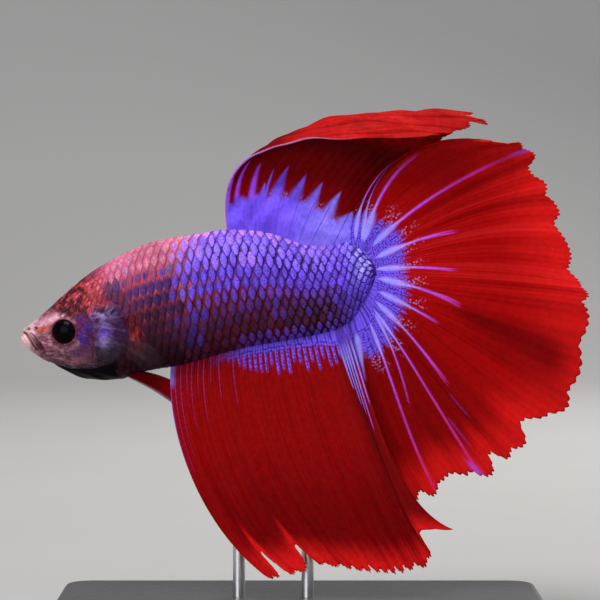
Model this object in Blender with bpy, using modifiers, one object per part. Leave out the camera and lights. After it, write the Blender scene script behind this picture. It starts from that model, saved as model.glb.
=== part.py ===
"""Male halfmoon betta swimming level with its fins spread, a still life-size model on a display stand.

Metres, +Z up. The head points toward -X and the fish's left side faces -Y. The origin is the middle of the
stand's underside. The body is lofted from its back line, belly line and half widths, in a line of its own
that is tipped nose down by PITCH. Each fin is a sheet spanned between guide rays.
"""

import math

import bmesh
import bpy
import numpy as np
from mathutils import Matrix

MM = 0.001
GAP = 0.3
PITCH = math.radians(9.8)
SNOUT = (-36.14, 39.4)
FIN_THICK = 0.5

# Body stations: distance from the snout, back above the axis, belly above the axis, half width.
STATIONS = np.array([
    (-0.2, -0.45, -0.45, 0.0),
    (0.3, 0.72, -1.62, 1.15),
    (1.3, 1.32, -2.75, 1.75),
    (2.8, 2.08, -4.1, 2.35),
    (4.5, 3.17, -5.5, 3.0),
    (6.5, 4.45, -6.85, 3.6),
    (9.0, 5.95, -7.6, 4.25),
    (12.0, 7.32, -7.95, 4.7),
    (15.0, 8.42, -7.5, 4.85),
    (19.0, 9.2, -7.5, 4.8),
    (24.0, 9.22, -7.0, 4.5),
    (29.0, 9.05, -6.65, 3.95),
    (34.0, 7.75, -6.65, 3.25),
    (38.0, 5.65, -6.55, 2.6),
    (41.5, 4.8, -6.1, 2.0),
    (44.2, 4.75, -4.0, 1.45),
    (46.0, 3.0, -1.7, 1.0),
    (46.9, 0.4, 0.4, 0.0),
])
NECK_CUT = 13.7
TAIL_CUT = 38.2
RING = 26

# Outlines of the parts of the head, distance and height in the body's own line.
JAW_OUTLINE = ((-1.5, 0.75), (0.3, 0.5), (0.75, 0.1), (1.1, -0.75), (1.6, -1.95), (2.6, -2.75),
               (5.6, -4.3), (6.85, -5.0), (7.05, -9.5), (-1.5, -9.5))
THROAT_OUTLINE = ((7.2, -5.3), (9.5, -5.9), (12.0, -6.1), (14.2, -5.6), (14.2, -9.5), (7.4, -9.5))
GILL_OUTLINE = ((9.9, 0.9), (11.6, 1.9), (13.3, 1.7), (13.45, -0.4), (13.45, -3.2), (12.6, -4.7),
                (10.6, -5.3), (8.7, -5.2), (9.1, -2.6), (9.6, -0.8))
GILL_SLAB_INNER = 1.9
GILL_LIFT = 0.22

# The eyeball's centre, its radius across the flank and through it, and how far it looks forward.
EYE_AT = (5.86, -0.39)
EYE_OUT = 2.85
EYE_RADIUS = 1.7
EYE_BULGE = 1.0
EYE_TURN = math.radians(17)

# Guide rays: share along the fin's base, then the four handles of a cubic curve as (x, y, z).
DORSAL_RAYS = (
    (0.00, (-9.5, 0.0, 53.2), (-10.9, -0.6, 63.5), (-4.9, -4.6, 65.9), (16.9, -5.4, 65.1)),
    (0.12, (-7.7, 0.0, 53.2), (-8.8, 0.5, 63.5), (-4.9, -3.2, 68.5), (20.3, -4.6, 66.1)),
    (0.22, (-6.1, 0.0, 53.1), (-6.5, 0.9, 63.5), (-3.6, -2.2, 71.0), (23.1, -3.9, 67.1)),
    (0.36, (-3.9, 0.0, 53.0), (-3.2, 1.1, 62.2), (2.3, -1.0, 72.1), (24.3, -3.2, 67.0)),
    (0.52, (-1.4, 0.0, 52.6), (0.7, 1.2, 60.3), (6.5, 0.4, 71.0), (22.1, -1.4, 68.2)),
    (0.75, (2.2, 0.0, 51.8), (5.8, 1.3, 58.3), (12.0, 1.8, 68.7), (20.2, 0.8, 66.4)),
    (1.00, (5.4, 0.1, 51.4), (8.1, 1.8, 55.6), (12.7, 2.6, 61.6), (18.2, 2.2, 64.8)),
)
CAUDAL_RAYS = (
    (0.00, (6.6, -0.3, 51.4), (6.1, -0.7, 57.3), (11.1, -0.3, 64.2), (20.3, -0.9, 64.9)),
    (0.09, (7.8, -0.2, 51.0), (8.8, -0.4, 58.3), (14.3, 0.0, 66.1), (26.0, -2.4, 64.4)),
    (0.19, (8.7, 0.0, 50.5), (13.0, 0.0, 55.5), (20.2, 0.4, 60.3), (30.0, 0.2, 63.6)),
    (0.33, (9.4, 0.0, 49.0), (16.3, 0.0, 52.6), (24.7, 1.0, 56.4), (33.8, 1.4, 56.0)),
    (0.46, (9.5, 0.0, 47.9), (18.2, -0.4, 49.0), (26.0, 0.4, 49.0), (36.1, 0.0, 47.1)),
    (0.57, (9.5, 0.0, 46.6), (17.6, -1.0, 45.1), (27.3, 0.0, 44.0), (37.7, -1.0, 42.5)),
    (0.66, (9.4, 0.0, 45.3), (16.9, -0.6, 42.5), (26.0, 1.4, 35.6), (35.5, 1.6, 30.5)),
    (0.76, (9.1, 0.0, 44.0), (15.0, 0.0, 39.5), (20.8, 1.2, 31.0), (28.9, 1.0, 24.3)),
    (0.85, (8.7, 0.0, 43.0), (12.0, 0.3, 38.2), (15.6, 1.2, 31.0), (24.3, 1.4, 20.4)),
    (0.93, (8.1, 0.1, 41.7), (10.1, 0.6, 37.5), (12.0, 1.3, 27.8), (18.2, 1.4, 18.3)),
    (1.00, (6.9, 0.2, 40.4), (8.1, 0.9, 34.9), (10.4, 1.5, 24.5), (15.6, 1.4, 17.0)),
)
ANAL_RAYS = (
    (0.00, (-16.8, 0.0, 35.2), (-17.4, -1.6, 27.8), (-13.5, -2.4, 14.8), (-3.8, -3.0, 7.9)),
    (0.16, (-13.1, 0.0, 36.2), (-14.0, -0.8, 27.8), (-9.9, -1.6, 16.1), (-1.0, -1.8, 8.3)),
    (0.36, (-8.5, 0.0, 37.5), (-8.3, -0.6, 28.4), (-4.9, -1.4, 18.0), (3.9, -1.0, 9.2)),
    (0.60, (-2.9, 0.0, 38.4), (-2.1, -0.4, 28.4), (1.3, -1.2, 19.3), (9.4, -1.6, 8.6)),
    (0.82, (2.3, 0.0, 39.5), (4.2, -0.3, 31.0), (7.8, -1.0, 19.3), (14.6, -0.8, 8.8)),
    (0.93, (4.8, -0.1, 40.0), (6.8, -0.6, 33.0), (10.9, -1.8, 20.6), (17.0, -2.0, 10.9)),
    (0.97, (5.6, -0.15, 40.1), (8.2, -0.8, 32.4), (11.4, -1.9, 18.6), (15.9, -2.4, 13.8)),
    (1.00, (6.4, -0.2, 40.2), (9.2, -1.0, 31.5), (12.2, -2.0, 16.8), (20.2, -2.8, 14.3)),
)
# The fish's left pectoral fin, spread off its side, and its left pelvic fin, trailing under the belly.
PECTORAL_RAYS = (
    (0.0, (-22.4, -4.3, 39.6), (-21.2, -5.8, 39.5), (-19.6, -6.7, 38.9), (-18.2, -7.2, 38.0)),
    (0.5, (-22.5, -4.4, 38.6), (-21.2, -6.0, 38.0), (-19.2, -7.0, 37.1), (-17.3, -7.5, 36.0)),
    (1.0, (-22.7, -4.3, 37.6), (-21.8, -5.8, 36.6), (-20.5, -6.6, 35.6), (-19.4, -7.0, 34.7)),
)
PELVIC_RAYS = (
    (0.0, (-22.6, -0.7, 34.2), (-19.9, -0.6, 32.8), (-17.0, 1.0, 31.2), (-12.0, 1.5, 26.6)),
    (0.6, (-21.8, -0.8, 34.4), (-18.8, -0.6, 33.6), (-16.0, 1.1, 32.2), (-11.4, 1.6, 27.0)),
    (1.0, (-20.9, -0.8, 34.7), (-17.9, -0.5, 34.2), (-15.6, 1.2, 33.1), (-13.4, 1.5, 31.0)),
)
PELVIC_SPLAY = 1.9

# Notches in the margins: share along the fin, depth as a share of the rays' length, half width.
CAUDAL_NOTCHES = ((0.255, 0.05, 0.02), (0.36, 0.03, 0.012), (0.715, 0.09, 0.02), (0.805, 0.05, 0.012),
                  (0.89, 0.06, 0.02), (0.965, 0.04, 0.015))
ANAL_NOTCHES = ((0.12, 0.13, 0.02), (0.30, 0.12, 0.02))
DORSAL_NOTCHES = ((0.30, 0.04, 0.02), (0.45, 0.03, 0.02))
PECTORAL_NOTCHES = ((0.75, 0.06, 0.05),)

BASE_LENGTH = 64.0
BASE_DEPTH = 36.0
BASE_THICK = 5.0
BASE_BEVEL = 0.8
ROD_RADIUS = 0.8
ROD_Y = 1.75
ROD_FRONT_X = -8.0
ROD_REAR_X = 1.0
ROD_TOP = {ROD_FRONT_X: 40.4, ROD_REAR_X: 41.8}
ROD_HOLE_GAP = 0.3
ROD_SINK = 2.5


def clear_scene():
    for obj in list(bpy.data.objects):
        bpy.data.objects.remove(obj, do_unlink=True)


def new_collection(name):
    group = bpy.data.collections.new(name)
    bpy.context.scene.collection.children.link(group)
    return group


def make_material(name, color, roughness, metallic=0.0):
    material = bpy.data.materials.new(name)
    material.use_nodes = True
    shader = material.node_tree.nodes["Principled BSDF"]
    shader.inputs["Base Color"].default_value = (*color, 1.0)
    shader.inputs["Roughness"].default_value = roughness
    shader.inputs["Metallic"].default_value = metallic
    return material


def smooth_through(at, knots, values):
    """Reads the smooth curve through (knots, values) at each share in at."""
    slope = np.gradient(values, knots, axis=0)
    low = np.clip(np.searchsorted(knots, at) - 1, 0, len(knots) - 2)
    step = (knots[low + 1] - knots[low])[:, None]
    t = (at - knots[low])[:, None] / step
    return (
        (2 * t**3 - 3 * t**2 + 1) * values[low]
        + (t**3 - 2 * t**2 + t) * step * slope[low]
        + (3 * t**2 - 2 * t**3) * values[low + 1]
        + (t**3 - t**2) * step * slope[low + 1]
    )


def to_place(distance, side, height):
    """A point of the body's own line, in millimetres, placed in the part's frame, in metres."""
    x = SNOUT[0] + distance * math.cos(PITCH) - height * math.sin(PITCH)
    z = SNOUT[1] + distance * math.sin(PITCH) + height * math.cos(PITCH)
    return np.stack(np.broadcast_arrays(x, side, z), axis=-1) * MM


def station_share(distance):
    """Runs 0 to 1 from snout to tail, closing up at both ends so that they come out round."""
    first, last = STATIONS[0, 0], STATIONS[-1, 0]
    share = (np.asarray(distance, float) - first) / (last - first)
    return np.arccos(np.clip(1 - 2 * share, -1, 1)) / math.pi


def body_rings(start, end, rings, swell=0.0):
    """Cross-sections from one distance to another, as rings of points with rounded flanks and a keeled belly."""
    shares = np.linspace(station_share(start), station_share(end), rings)
    sizes = smooth_through(shares, station_share(STATIONS[:, 0]), STATIONS[:, 1:])
    first, last = STATIONS[0, 0], STATIONS[-1, 0]
    distance = first + (last - first) * (1 - np.cos(math.pi * shares)) / 2
    back, belly, half = (sizes[:, i:i + 1] for i in range(3))
    angle = np.linspace(0, 2 * math.pi, RING, endpoint=False)[None, :]
    middle = belly + (back - belly) * 0.48
    keel = np.clip((distance[:, None] - 12) / 14, 0, 1)
    power = np.where(np.cos(angle) < 0, 1 + 0.35 * keel, 1.0 + 0.1 * keel)
    side = np.sign(np.sin(angle)) * (half + swell) * np.abs(np.sin(angle)) ** power
    rise = np.where(np.cos(angle) > 0, back + swell - middle, middle - belly + swell) * np.cos(angle)
    stretch = distance[:, None] + swell * np.clip((distance[:, None] - 23) / 23, -1, 1)
    return to_place(np.broadcast_to(stretch, side.shape), side, middle + rise)


def loft(name, rings, group, material):
    """A closed body through the rings, with a flat end on each."""
    count = rings.shape[1]
    bm = bmesh.new()
    rows = [[bm.verts.new(p) for p in ring] for ring in rings]
    for low, high in zip(rows, rows[1:]):
        for i in range(count):
            j = (i + 1) % count
            bm.faces.new((low[i], low[j], high[j], high[i]))
    bm.faces.new(rows[0])
    bm.faces.new(rows[-1])
    bmesh.ops.remove_doubles(bm, verts=bm.verts, dist=1e-6)
    bmesh.ops.dissolve_degenerate(bm, edges=bm.edges, dist=1e-7)
    bmesh.ops.recalc_face_normals(bm, faces=bm.faces)
    return finish_mesh(name, bm, group, material)


def finish_mesh(name, bm, group, material):
    mesh = bpy.data.meshes.new(name)
    bm.to_mesh(mesh)
    bm.free()
    mesh.shade_smooth()
    mesh.set_sharp_from_angle(angle=math.radians(50))
    obj = bpy.data.objects.new(name, mesh)
    if material is not None:
        mesh.materials.append(material)
    group.objects.link(obj)
    return obj


def as_cutter(obj):
    obj.hide_render = True
    obj.display_type = "WIRE"
    return obj


def prism(name, outline, inner, outer, group, grow=0.0):
    """A slab with the outline seen from the side, between two distances from the middle plane.

    The outline is first offset outwards by grow: each corner moves along its two edges' normals.
    """
    points = np.array(outline, float)
    following = np.roll(points, -1, axis=0)
    edge = following - points
    normal = np.stack([edge[:, 1], -edge[:, 0]], axis=-1) / np.linalg.norm(edge, axis=1)[:, None]
    turning = np.sign(np.sum(points[:, 0] * following[:, 1] - following[:, 0] * points[:, 1]))
    before = np.roll(normal, 1, axis=0)
    spread = 1 + np.sum(normal * before, axis=1)
    points = points + grow * turning * (normal + before) / spread[:, None]
    bm = bmesh.new()
    near = [bm.verts.new(p) for p in to_place(points[:, 0], inner, points[:, 1])]
    face = bm.faces.new(near)
    grown = bmesh.ops.extrude_face_region(bm, geom=[face])
    moved = [v for v in grown["geom"] if isinstance(v, bmesh.types.BMVert)]
    bmesh.ops.translate(bm, verts=moved, vec=(0, (outer - inner) * MM, 0))
    bmesh.ops.recalc_face_normals(bm, faces=bm.faces)
    return as_cutter(finish_mesh(name, bm, group, None))


def boolean(obj, other, operation):
    modifier = obj.modifiers.new(f"{operation.lower()}_{other.name}", "BOOLEAN")
    modifier.operation = operation
    modifier.solver = "EXACT"
    modifier.object = other


def ellipsoid(name, centre, radii, turn, group, material):
    bm = bmesh.new()
    bmesh.ops.create_uvsphere(bm, u_segments=16, v_segments=9, radius=1.0)
    bmesh.ops.rotate(bm, verts=bm.verts, matrix=Matrix.Rotation(math.radians(90), 3, "X"))
    bmesh.ops.scale(bm, verts=bm.verts, vec=[r * MM for r in radii])
    bmesh.ops.rotate(bm, verts=bm.verts, matrix=Matrix.Rotation(turn, 3, "Z"))
    bmesh.ops.translate(bm, verts=bm.verts, vec=centre)
    return finish_mesh(name, bm, group, material)


def fin_surface(rays, across, along, notches):
    """Points of the fin's middle surface on a grid, from its base to its notched margin."""
    share = np.linspace(0, 1, across)
    table = np.array([np.ravel(ray[1:]) for ray in rays])
    handles = smooth_through(share, np.array([ray[0] for ray in rays]), table).reshape(across, 1, 4, 3)
    reach = np.ones(across)
    for at, depth, width in notches:
        reach = reach - depth * np.exp(-((share - at) / width) ** 2)
    start = -0.045
    t = (start + (reach[:, None] - start) * np.linspace(0, 1, along)[None, :])[..., None]
    return MM * (
        (1 - t) ** 3 * handles[:, :, 0]
        + 3 * t * (1 - t) ** 2 * handles[:, :, 1]
        + 3 * t**2 * (1 - t) * handles[:, :, 2]
        + t**3 * handles[:, :, 3]
    )


def fin(name, rays, across, along, notches, group, material, core, mirrored=False):
    """A sheet of even thickness between its guide rays, trimmed clear of the body at its base."""
    grid = fin_surface(rays, across, along, notches)
    if mirrored:
        grid = grid * np.array((1.0, -1.0, 1.0))
    bm = bmesh.new()
    rows = [[bm.verts.new(p) for p in row] for row in grid]
    for low, high in zip(rows, rows[1:]):
        for j in range(along - 1):
            bm.faces.new((low[j], low[j + 1], high[j + 1], high[j]))
    obj = finish_mesh(name, bm, group, material)
    sheet = obj.modifiers.new("thickness", "SOLIDIFY")
    sheet.thickness = FIN_THICK * MM
    sheet.offset = 0.0
    boolean(obj, core, "DIFFERENCE")
    return obj


def gill_cover(side, group, cutters, material):
    """The plate behind the cheek: the body's surface inside the gill outline, lifted a little off the flank."""
    label = "left" if side < 0 else "right"
    plate = loft(f"gill_cover_{label}", body_rings(7.5, 15.0, 9, GILL_LIFT), group, material)
    slab = prism(f"gill_slab_{label}", GILL_OUTLINE, side * GILL_SLAB_INNER, side * 9.0, cutters)
    boolean(plate, slab, "INTERSECT")
    return plate


def eye(side, group, cutters, material):
    label = "left" if side < 0 else "right"
    centre = to_place(EYE_AT[0], side * EYE_OUT, EYE_AT[1])
    turn = side * EYE_TURN
    ball = ellipsoid(f"eye_{label}", centre, (EYE_RADIUS, EYE_BULGE, EYE_RADIUS), turn, group, material)
    wide = [r + GAP / 2 for r in (EYE_RADIUS, EYE_BULGE, EYE_RADIUS)]
    socket = as_cutter(ellipsoid(f"eye_socket_{label}", centre, wide, turn, cutters, None))
    return ball, socket


def head(group, cutters, materials):
    skull = loft("head", body_rings(STATIONS[0, 0], NECK_CUT - GAP / 2, 16), group, materials["head"])
    jaw = loft("lower_jaw", body_rings(STATIONS[0, 0], 8.0, 11), group, materials["jaw"])
    boolean(jaw, prism("jaw_block", JAW_OUTLINE, -9.0, 9.0, cutters), "INTERSECT")
    throat = loft("throat", body_rings(5.0, NECK_CUT - GAP / 2, 9), group, materials["throat"])
    boolean(throat, prism("throat_block", THROAT_OUTLINE, -9.0, 9.0, cutters), "INTERSECT")
    boolean(skull, prism("jaw_room", JAW_OUTLINE, -9.0, 9.0, cutters, GAP), "DIFFERENCE")
    boolean(skull, prism("throat_room", THROAT_OUTLINE, -9.0, 9.0, cutters, GAP), "DIFFERENCE")
    for side in (-1, 1):
        label = "left" if side < 0 else "right"
        gill_cover(side, group, cutters, materials["gill"])
        inner = side * (GILL_SLAB_INNER - GAP)
        room = prism(f"gill_room_{label}", GILL_OUTLINE, inner, side * 9.5, cutters, GAP)
        boolean(skull, room, "DIFFERENCE")
        boolean(throat, room, "DIFFERENCE")
        ball, socket = eye(side, group, cutters, materials["eye"])
        boolean(skull, socket, "DIFFERENCE")


def rod_mesh(name, x, top, radius, group, material, bottom):
    bm = bmesh.new()
    bmesh.ops.create_cone(
        bm, cap_ends=True, segments=20, radius1=radius * MM, radius2=radius * MM, depth=(top - bottom) * MM
    )
    bmesh.ops.translate(bm, verts=bm.verts, vec=(x * MM, ROD_Y * MM, (top + bottom) / 2 * MM))
    return finish_mesh(name, bm, group, material)


def trunk(group, cutters, materials):
    flank = loft("trunk", body_rings(NECK_CUT + GAP / 2, TAIL_CUT - GAP / 2, 15), group, materials["trunk"])
    loft("tail_base", body_rings(TAIL_CUT + GAP / 2, STATIONS[-1, 0], 9), group, materials["trunk"])
    for label, x in (("front", ROD_FRONT_X), ("rear", ROD_REAR_X)):
        hole = rod_mesh(f"rod_hole_{label}", x, ROD_TOP[x] + ROD_HOLE_GAP, ROD_RADIUS + ROD_HOLE_GAP,
                        cutters, None, 25.0)
        boolean(flank, as_cutter(hole), "DIFFERENCE")


def fins(group, cutters, materials):
    core = as_cutter(loft("body_core", body_rings(STATIONS[0, 0], STATIONS[-1, 0], 30, 0.22), cutters, None))
    fin("dorsal_fin", DORSAL_RAYS, 25, 13, DORSAL_NOTCHES, group, materials["fin"], core)
    fin("caudal_fin", CAUDAL_RAYS, 43, 10, CAUDAL_NOTCHES, group, materials["fin"], core)
    fin("anal_fin", ANAL_RAYS, 35, 10, ANAL_NOTCHES, group, materials["fin"], core)
    for mirrored in (False, True):
        label = "right" if mirrored else "left"
        fin(f"pectoral_fin_{label}", PECTORAL_RAYS, 9, 7, PECTORAL_NOTCHES, group, materials["clear_fin"],
            core, mirrored)
    fin("pelvic_fin_left", PELVIC_RAYS, 5, 10, (), group, materials["fin"], core)
    right = [(ray[0], *((x, y + PELVIC_SPLAY, z) for x, y, z in ray[1:])) for ray in PELVIC_RAYS]
    fin("pelvic_fin_right", right, 5, 10, (), group, materials["fin"], core)


def stand(group, cutters, materials):
    bpy.ops.mesh.primitive_cube_add(size=1.0, location=(0, 0, 0))
    plate = bpy.context.active_object
    plate.name = "stand_base"
    plate.data.name = "stand_base"
    bm = bmesh.new()
    bm.from_mesh(plate.data)
    bmesh.ops.scale(bm, verts=bm.verts, vec=(BASE_LENGTH * MM, BASE_DEPTH * MM, BASE_THICK * MM))
    bmesh.ops.translate(bm, verts=bm.verts, vec=(0, 0, BASE_THICK / 2 * MM))
    bm.to_mesh(plate.data)
    bm.free()
    edge = plate.modifiers.new("soft_edges", "BEVEL")
    edge.width = BASE_BEVEL * MM
    edge.segments = 2
    edge.limit_method = "ANGLE"
    plate.data.materials.append(materials["base"])
    for old in list(plate.users_collection):
        old.objects.unlink(plate)
    group.objects.link(plate)
    for label, x in (("front", ROD_FRONT_X), ("rear", ROD_REAR_X)):
        foot = BASE_THICK - ROD_SINK
        rod_mesh(f"stand_rod_{label}", x, ROD_TOP[x], ROD_RADIUS, group, materials["rod"], foot)
        seat = rod_mesh(f"rod_seat_{label}", x, BASE_THICK + 1.0, ROD_RADIUS + 0.15, cutters, None, foot - 0.15)
        boolean(plate, as_cutter(seat), "DIFFERENCE")


def build():
    clear_scene()
    group = new_collection("betta_fish")
    cutters = new_collection("cutters")
    materials = {
        "head": make_material("head_skin", (0.55, 0.2, 0.22), 0.4),
        "jaw": make_material("jaw_skin", (0.7, 0.5, 0.5), 0.4),
        "throat": make_material("throat_skin", (0.05, 0.02, 0.03), 0.5),
        "gill": make_material("gill_skin", (0.4, 0.3, 0.55), 0.35),
        "trunk": make_material("trunk_scales", (0.12, 0.08, 0.6), 0.35),
        "eye": make_material("eye_black", (0.01, 0.01, 0.012), 0.08),
        "fin": make_material("fin_red", (0.6, 0.01, 0.01), 0.45),
        "clear_fin": make_material("fin_clear", (0.5, 0.45, 0.5), 0.3),
        "base": make_material("stand_black", (0.03, 0.03, 0.035), 0.35),
        "rod": make_material("stand_steel", (0.6, 0.6, 0.62), 0.3, 1.0),
    }
    head(group, cutters, materials)
    trunk(group, cutters, materials)
    fins(group, cutters, materials)
    stand(group, cutters, materials)


build()
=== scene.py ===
"""Male halfmoon betta swimming on a plain display stand: skin, scales, fins, eyes and studio.

Sizes inside the classes are in millimetres, and finished meshes are in metres in the part's own frame: the
head points toward -X, the fish's left side faces -Y, and +Z is up. Places on the body are given on its own
line, as a distance from the snout, a height above the axis and a side offset. That line is tipped nose down.
"""

import logging
import math
from dataclasses import dataclass, field
from enum import Enum

import bpy
import numpy as np
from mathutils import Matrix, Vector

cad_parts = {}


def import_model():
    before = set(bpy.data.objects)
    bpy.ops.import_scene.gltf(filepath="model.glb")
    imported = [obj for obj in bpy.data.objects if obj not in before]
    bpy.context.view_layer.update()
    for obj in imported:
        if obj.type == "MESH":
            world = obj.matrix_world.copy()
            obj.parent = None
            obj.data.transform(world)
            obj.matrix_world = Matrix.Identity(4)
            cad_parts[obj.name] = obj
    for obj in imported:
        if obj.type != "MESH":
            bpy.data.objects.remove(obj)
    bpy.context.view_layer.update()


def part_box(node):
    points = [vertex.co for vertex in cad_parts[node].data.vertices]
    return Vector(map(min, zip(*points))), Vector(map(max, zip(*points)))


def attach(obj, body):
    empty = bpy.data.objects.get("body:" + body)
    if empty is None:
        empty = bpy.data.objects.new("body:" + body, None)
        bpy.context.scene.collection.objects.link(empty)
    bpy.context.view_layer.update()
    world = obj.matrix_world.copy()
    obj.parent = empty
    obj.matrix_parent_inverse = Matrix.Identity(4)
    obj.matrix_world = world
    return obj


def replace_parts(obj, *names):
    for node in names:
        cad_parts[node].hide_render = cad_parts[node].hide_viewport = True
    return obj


LOG = logging.getLogger("betta")
MM = 0.001
Array = np.ndarray
Triple = tuple[float, float, float]
Line = tuple[tuple[float, float], ...]
Socket = bpy.types.NodeSocket


def link(thing: bpy.types.Object) -> None:
    """Puts an object in the scene."""
    bpy.context.scene.collection.objects.link(thing)


class Side(Enum):
    """The fish's own sides, as the sign of Y that they face."""

    LEFT = -1
    RIGHT = 1


class Slot(Enum):
    """The record's material slots, one named with each new piece."""

    SCALES = "scaled_skin"
    FIN = "fin_red"
    CLEAR_FIN = "fin_clear"
    EYE = "eye_black"
    BASE = "stand_black"
    STEEL = "stand_steel"


class Hue(Enum):
    """Colours of the living fish, and reds for painted light and shade on its fins, linear RGB."""

    RED = (0.31, 0.0012, 0.0015)
    # Painted shade on the fins, where a curl, a fold or another fin shades the red.
    SHADED_RED = (0.15, 0.0, 0.001)
    DARK_RED = (0.06, 0.0, 0.001)
    # Painted light on the fins, where they face the light above or glow with it at the margin.
    LIT_RED = (0.48, 0.006, 0.006)
    # Painted highlight on fold ridges and folded edges that face the light.
    HIGHLIGHT_RED = (0.62, 0.018, 0.013)
    BLUE = (0.1, 0.046, 0.56)
    SHINE_BLUE = (0.16, 0.082, 0.74)
    PALE_BLUE = (0.31, 0.26, 1.0)
    INDIGO = (0.11, 0.042, 0.48)
    DEEP_BLUE = (0.048, 0.018, 0.27)
    NIGHT_VIOLET = (0.045, 0.012, 0.105)
    DUSK = (0.07, 0.018, 0.19)
    NIGHT = (0.035, 0.008, 0.11)
    DARK_BLUE = (0.016, 0.007, 0.08)
    AMETHYST = (0.38, 0.075, 0.7)
    MAGENTA = (0.42, 0.03, 0.34)
    FUCHSIA = (0.42, 0.02, 0.17)
    ORCHID = (0.4, 0.17, 0.48)
    SALMON = (0.42, 0.09, 0.17)
    ROSE = (0.33, 0.055, 0.13)
    PALE_PINK = (0.45, 0.18, 0.26)
    EMBER = (0.4, 0.035, 0.038)
    CLARET = (0.15, 0.014, 0.04)
    PLUM = (0.09, 0.019, 0.068)
    MULBERRY = (0.056, 0.01, 0.034)
    SOOT = (0.03, 0.006, 0.013)
    BLOOD = (0.15, 0.008, 0.018)
    MAROON = (0.028, 0.0018, 0.008)
    PEACH = (0.44, 0.25, 0.28)
    BLUSH = (0.49, 0.25, 0.32)
    CORAL = (0.5, 0.06, 0.085)
    DUSTY = (0.165, 0.052, 0.08)
    SMOKE = (0.052, 0.032, 0.044)
    ORANGE = (0.4, 0.06, 0.017)
    OLIVE = (0.14, 0.09, 0.02)
    LILAC = (0.15, 0.1, 0.25)
    CHEEK = (0.05, 0.012, 0.055)
    BLACK = (0.004, 0.0025, 0.004)

    def __mul__(self, strength: float | Triple | Array) -> Array:
        """The colour times one number, one number a channel, or a column of numbers."""
        return np.array(self.value) * strength


def ramp(x: Array, low: float, high: float) -> Array:
    """A smooth step from 0 at low to 1 at high, 3t^2 - 2t^3 between; it falls where high is below low."""
    t = np.clip((x - low) / (high - low), 0, 1)
    return t * t * (3 - 2 * t)


def mix(base: Hue | Array, *coats: tuple[Hue | Array, Array]) -> Array:
    """Lays coats of colour over a base, one after another.

    Args:
        base: Colour, or one colour a point.
        *coats: Each colour with its share at each point, 1 where it hides what lies below.

    Returns:
        One colour a point.
    """
    colour = base
    for coat, share in coats:
        share = np.clip(share, 0, 1)[..., None]
        colour = colour * (1 - share) + coat * share
    return colour


def spread(*parts: Array) -> Array:
    """Arrays spread over one another's shape and stacked along a last axis."""
    return np.stack(np.broadcast_arrays(*parts), axis=-1)


def bell(*offsets: Array) -> Array:
    """A soft round hump: e to the minus sum of the offsets' squares."""
    return np.exp(-sum(offset**2 for offset in offsets))


def gradient(x: Array, *stops: tuple[float, Hue]) -> Array:
    """Hue colours along a number, straight between the stops and level beyond them.

    Args:
        x: Values to read.
        *stops: Rising places, each with its colour.

    Returns:
        One colour a value.
    """
    places = [place for place, _ in stops]
    table = np.array([shade.value for _, shade in stops])
    return np.stack([np.interp(x, places, table[:, i]) for i in range(3)], axis=-1)


def smooth_through(at: Array, knots: Array, values: Array) -> Array:
    """Cubic Hermite curve through rows of values, with slopes from the neighbouring knots.

    Args:
        at: Flat array of places to read.
        knots: Rising places of the rows.
        values: One row a knot.

    Returns:
        One row a place.
    """
    slope = np.gradient(values, knots, axis=0)
    low = np.clip(np.searchsorted(knots, at) - 1, 0, len(knots) - 2)
    step = (knots[low + 1] - knots[low])[:, None]
    t = (at - knots[low])[:, None] / step
    return (
        (2 * t**3 - 3 * t**2 + 1) * values[low]
        + (t**3 - 2 * t**2 + t) * step * slope[low]
        + (3 * t**2 - 2 * t**3) * values[low + 1]
        + (t**3 - t**2) * step * slope[low + 1]
    )


def lattice_hash(cell: Array, seed: int) -> Array:
    """A fixed pseudo-random number from 0 to 1 for each whole-numbered cell.

    Args:
        cell: Whole numbers, last axis of any length.
        seed: Chooses the pattern.

    Returns:
        One number a cell.
    """
    weights = np.array([12.9898, 78.233, 37.719][: cell.shape[-1]])
    wave = np.sin(cell @ weights + seed * 4.137) * 43758.5453
    return wave - np.floor(wave)


def mottle(points: Array, size: float, seed: int) -> Array:
    """Smooth lattice noise: the eight corners of each cell are hashed and blended with smooth weights.

    Args:
        points: Places, last axis 3.
        size: Width of a cell in the points' unit.
        seed: Chooses the pattern.

    Returns:
        Noise from 0 to 1 at each point.
    """
    place = points / size
    cell = np.floor(place)
    t = place - cell
    t = t * t * (3 - 2 * t)
    total = np.zeros(points.shape[:-1])
    for corner in np.ndindex(2, 2, 2):
        weight = np.prod(np.where(corner, t, 1 - t), axis=-1)
        total += weight * lattice_hash(cell + np.array(corner), seed)
    return total


def line_distance(x: Array, y: Array, line: Line) -> tuple[Array, Array, Array]:
    """Distance from points to a bent line in the plane, as the least over its straight runs.

    Args:
        x: First coordinate of the points.
        y: Second coordinate of the points.
        line: Corners of the line in order.

    Returns:
        The distance, which side of the line as -1 or 1 (1 is to the left of its direction), and how far along
        the line the nearest place is, from 0 to 1.
    """
    best = np.full(x.shape, 1e9)
    side = np.ones(x.shape)
    along = np.zeros(x.shape)
    runs = len(line) - 1
    for i, ((ax, ay), (bx, by)) in enumerate(zip(line, line[1:])):
        dx, dy = bx - ax, by - ay
        t = np.clip(((x - ax) * dx + (y - ay) * dy) / (dx * dx + dy * dy), 0, 1)
        gap = np.hypot(x - ax - t * dx, y - ay - t * dy)
        nearer = gap < best
        best = np.where(nearer, gap, best)
        side = np.where(nearer, np.sign(dx * (y - ay) - dy * (x - ax)), side)
        along = np.where(nearer, (i + t) / runs, along)
    return best, side, along


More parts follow.
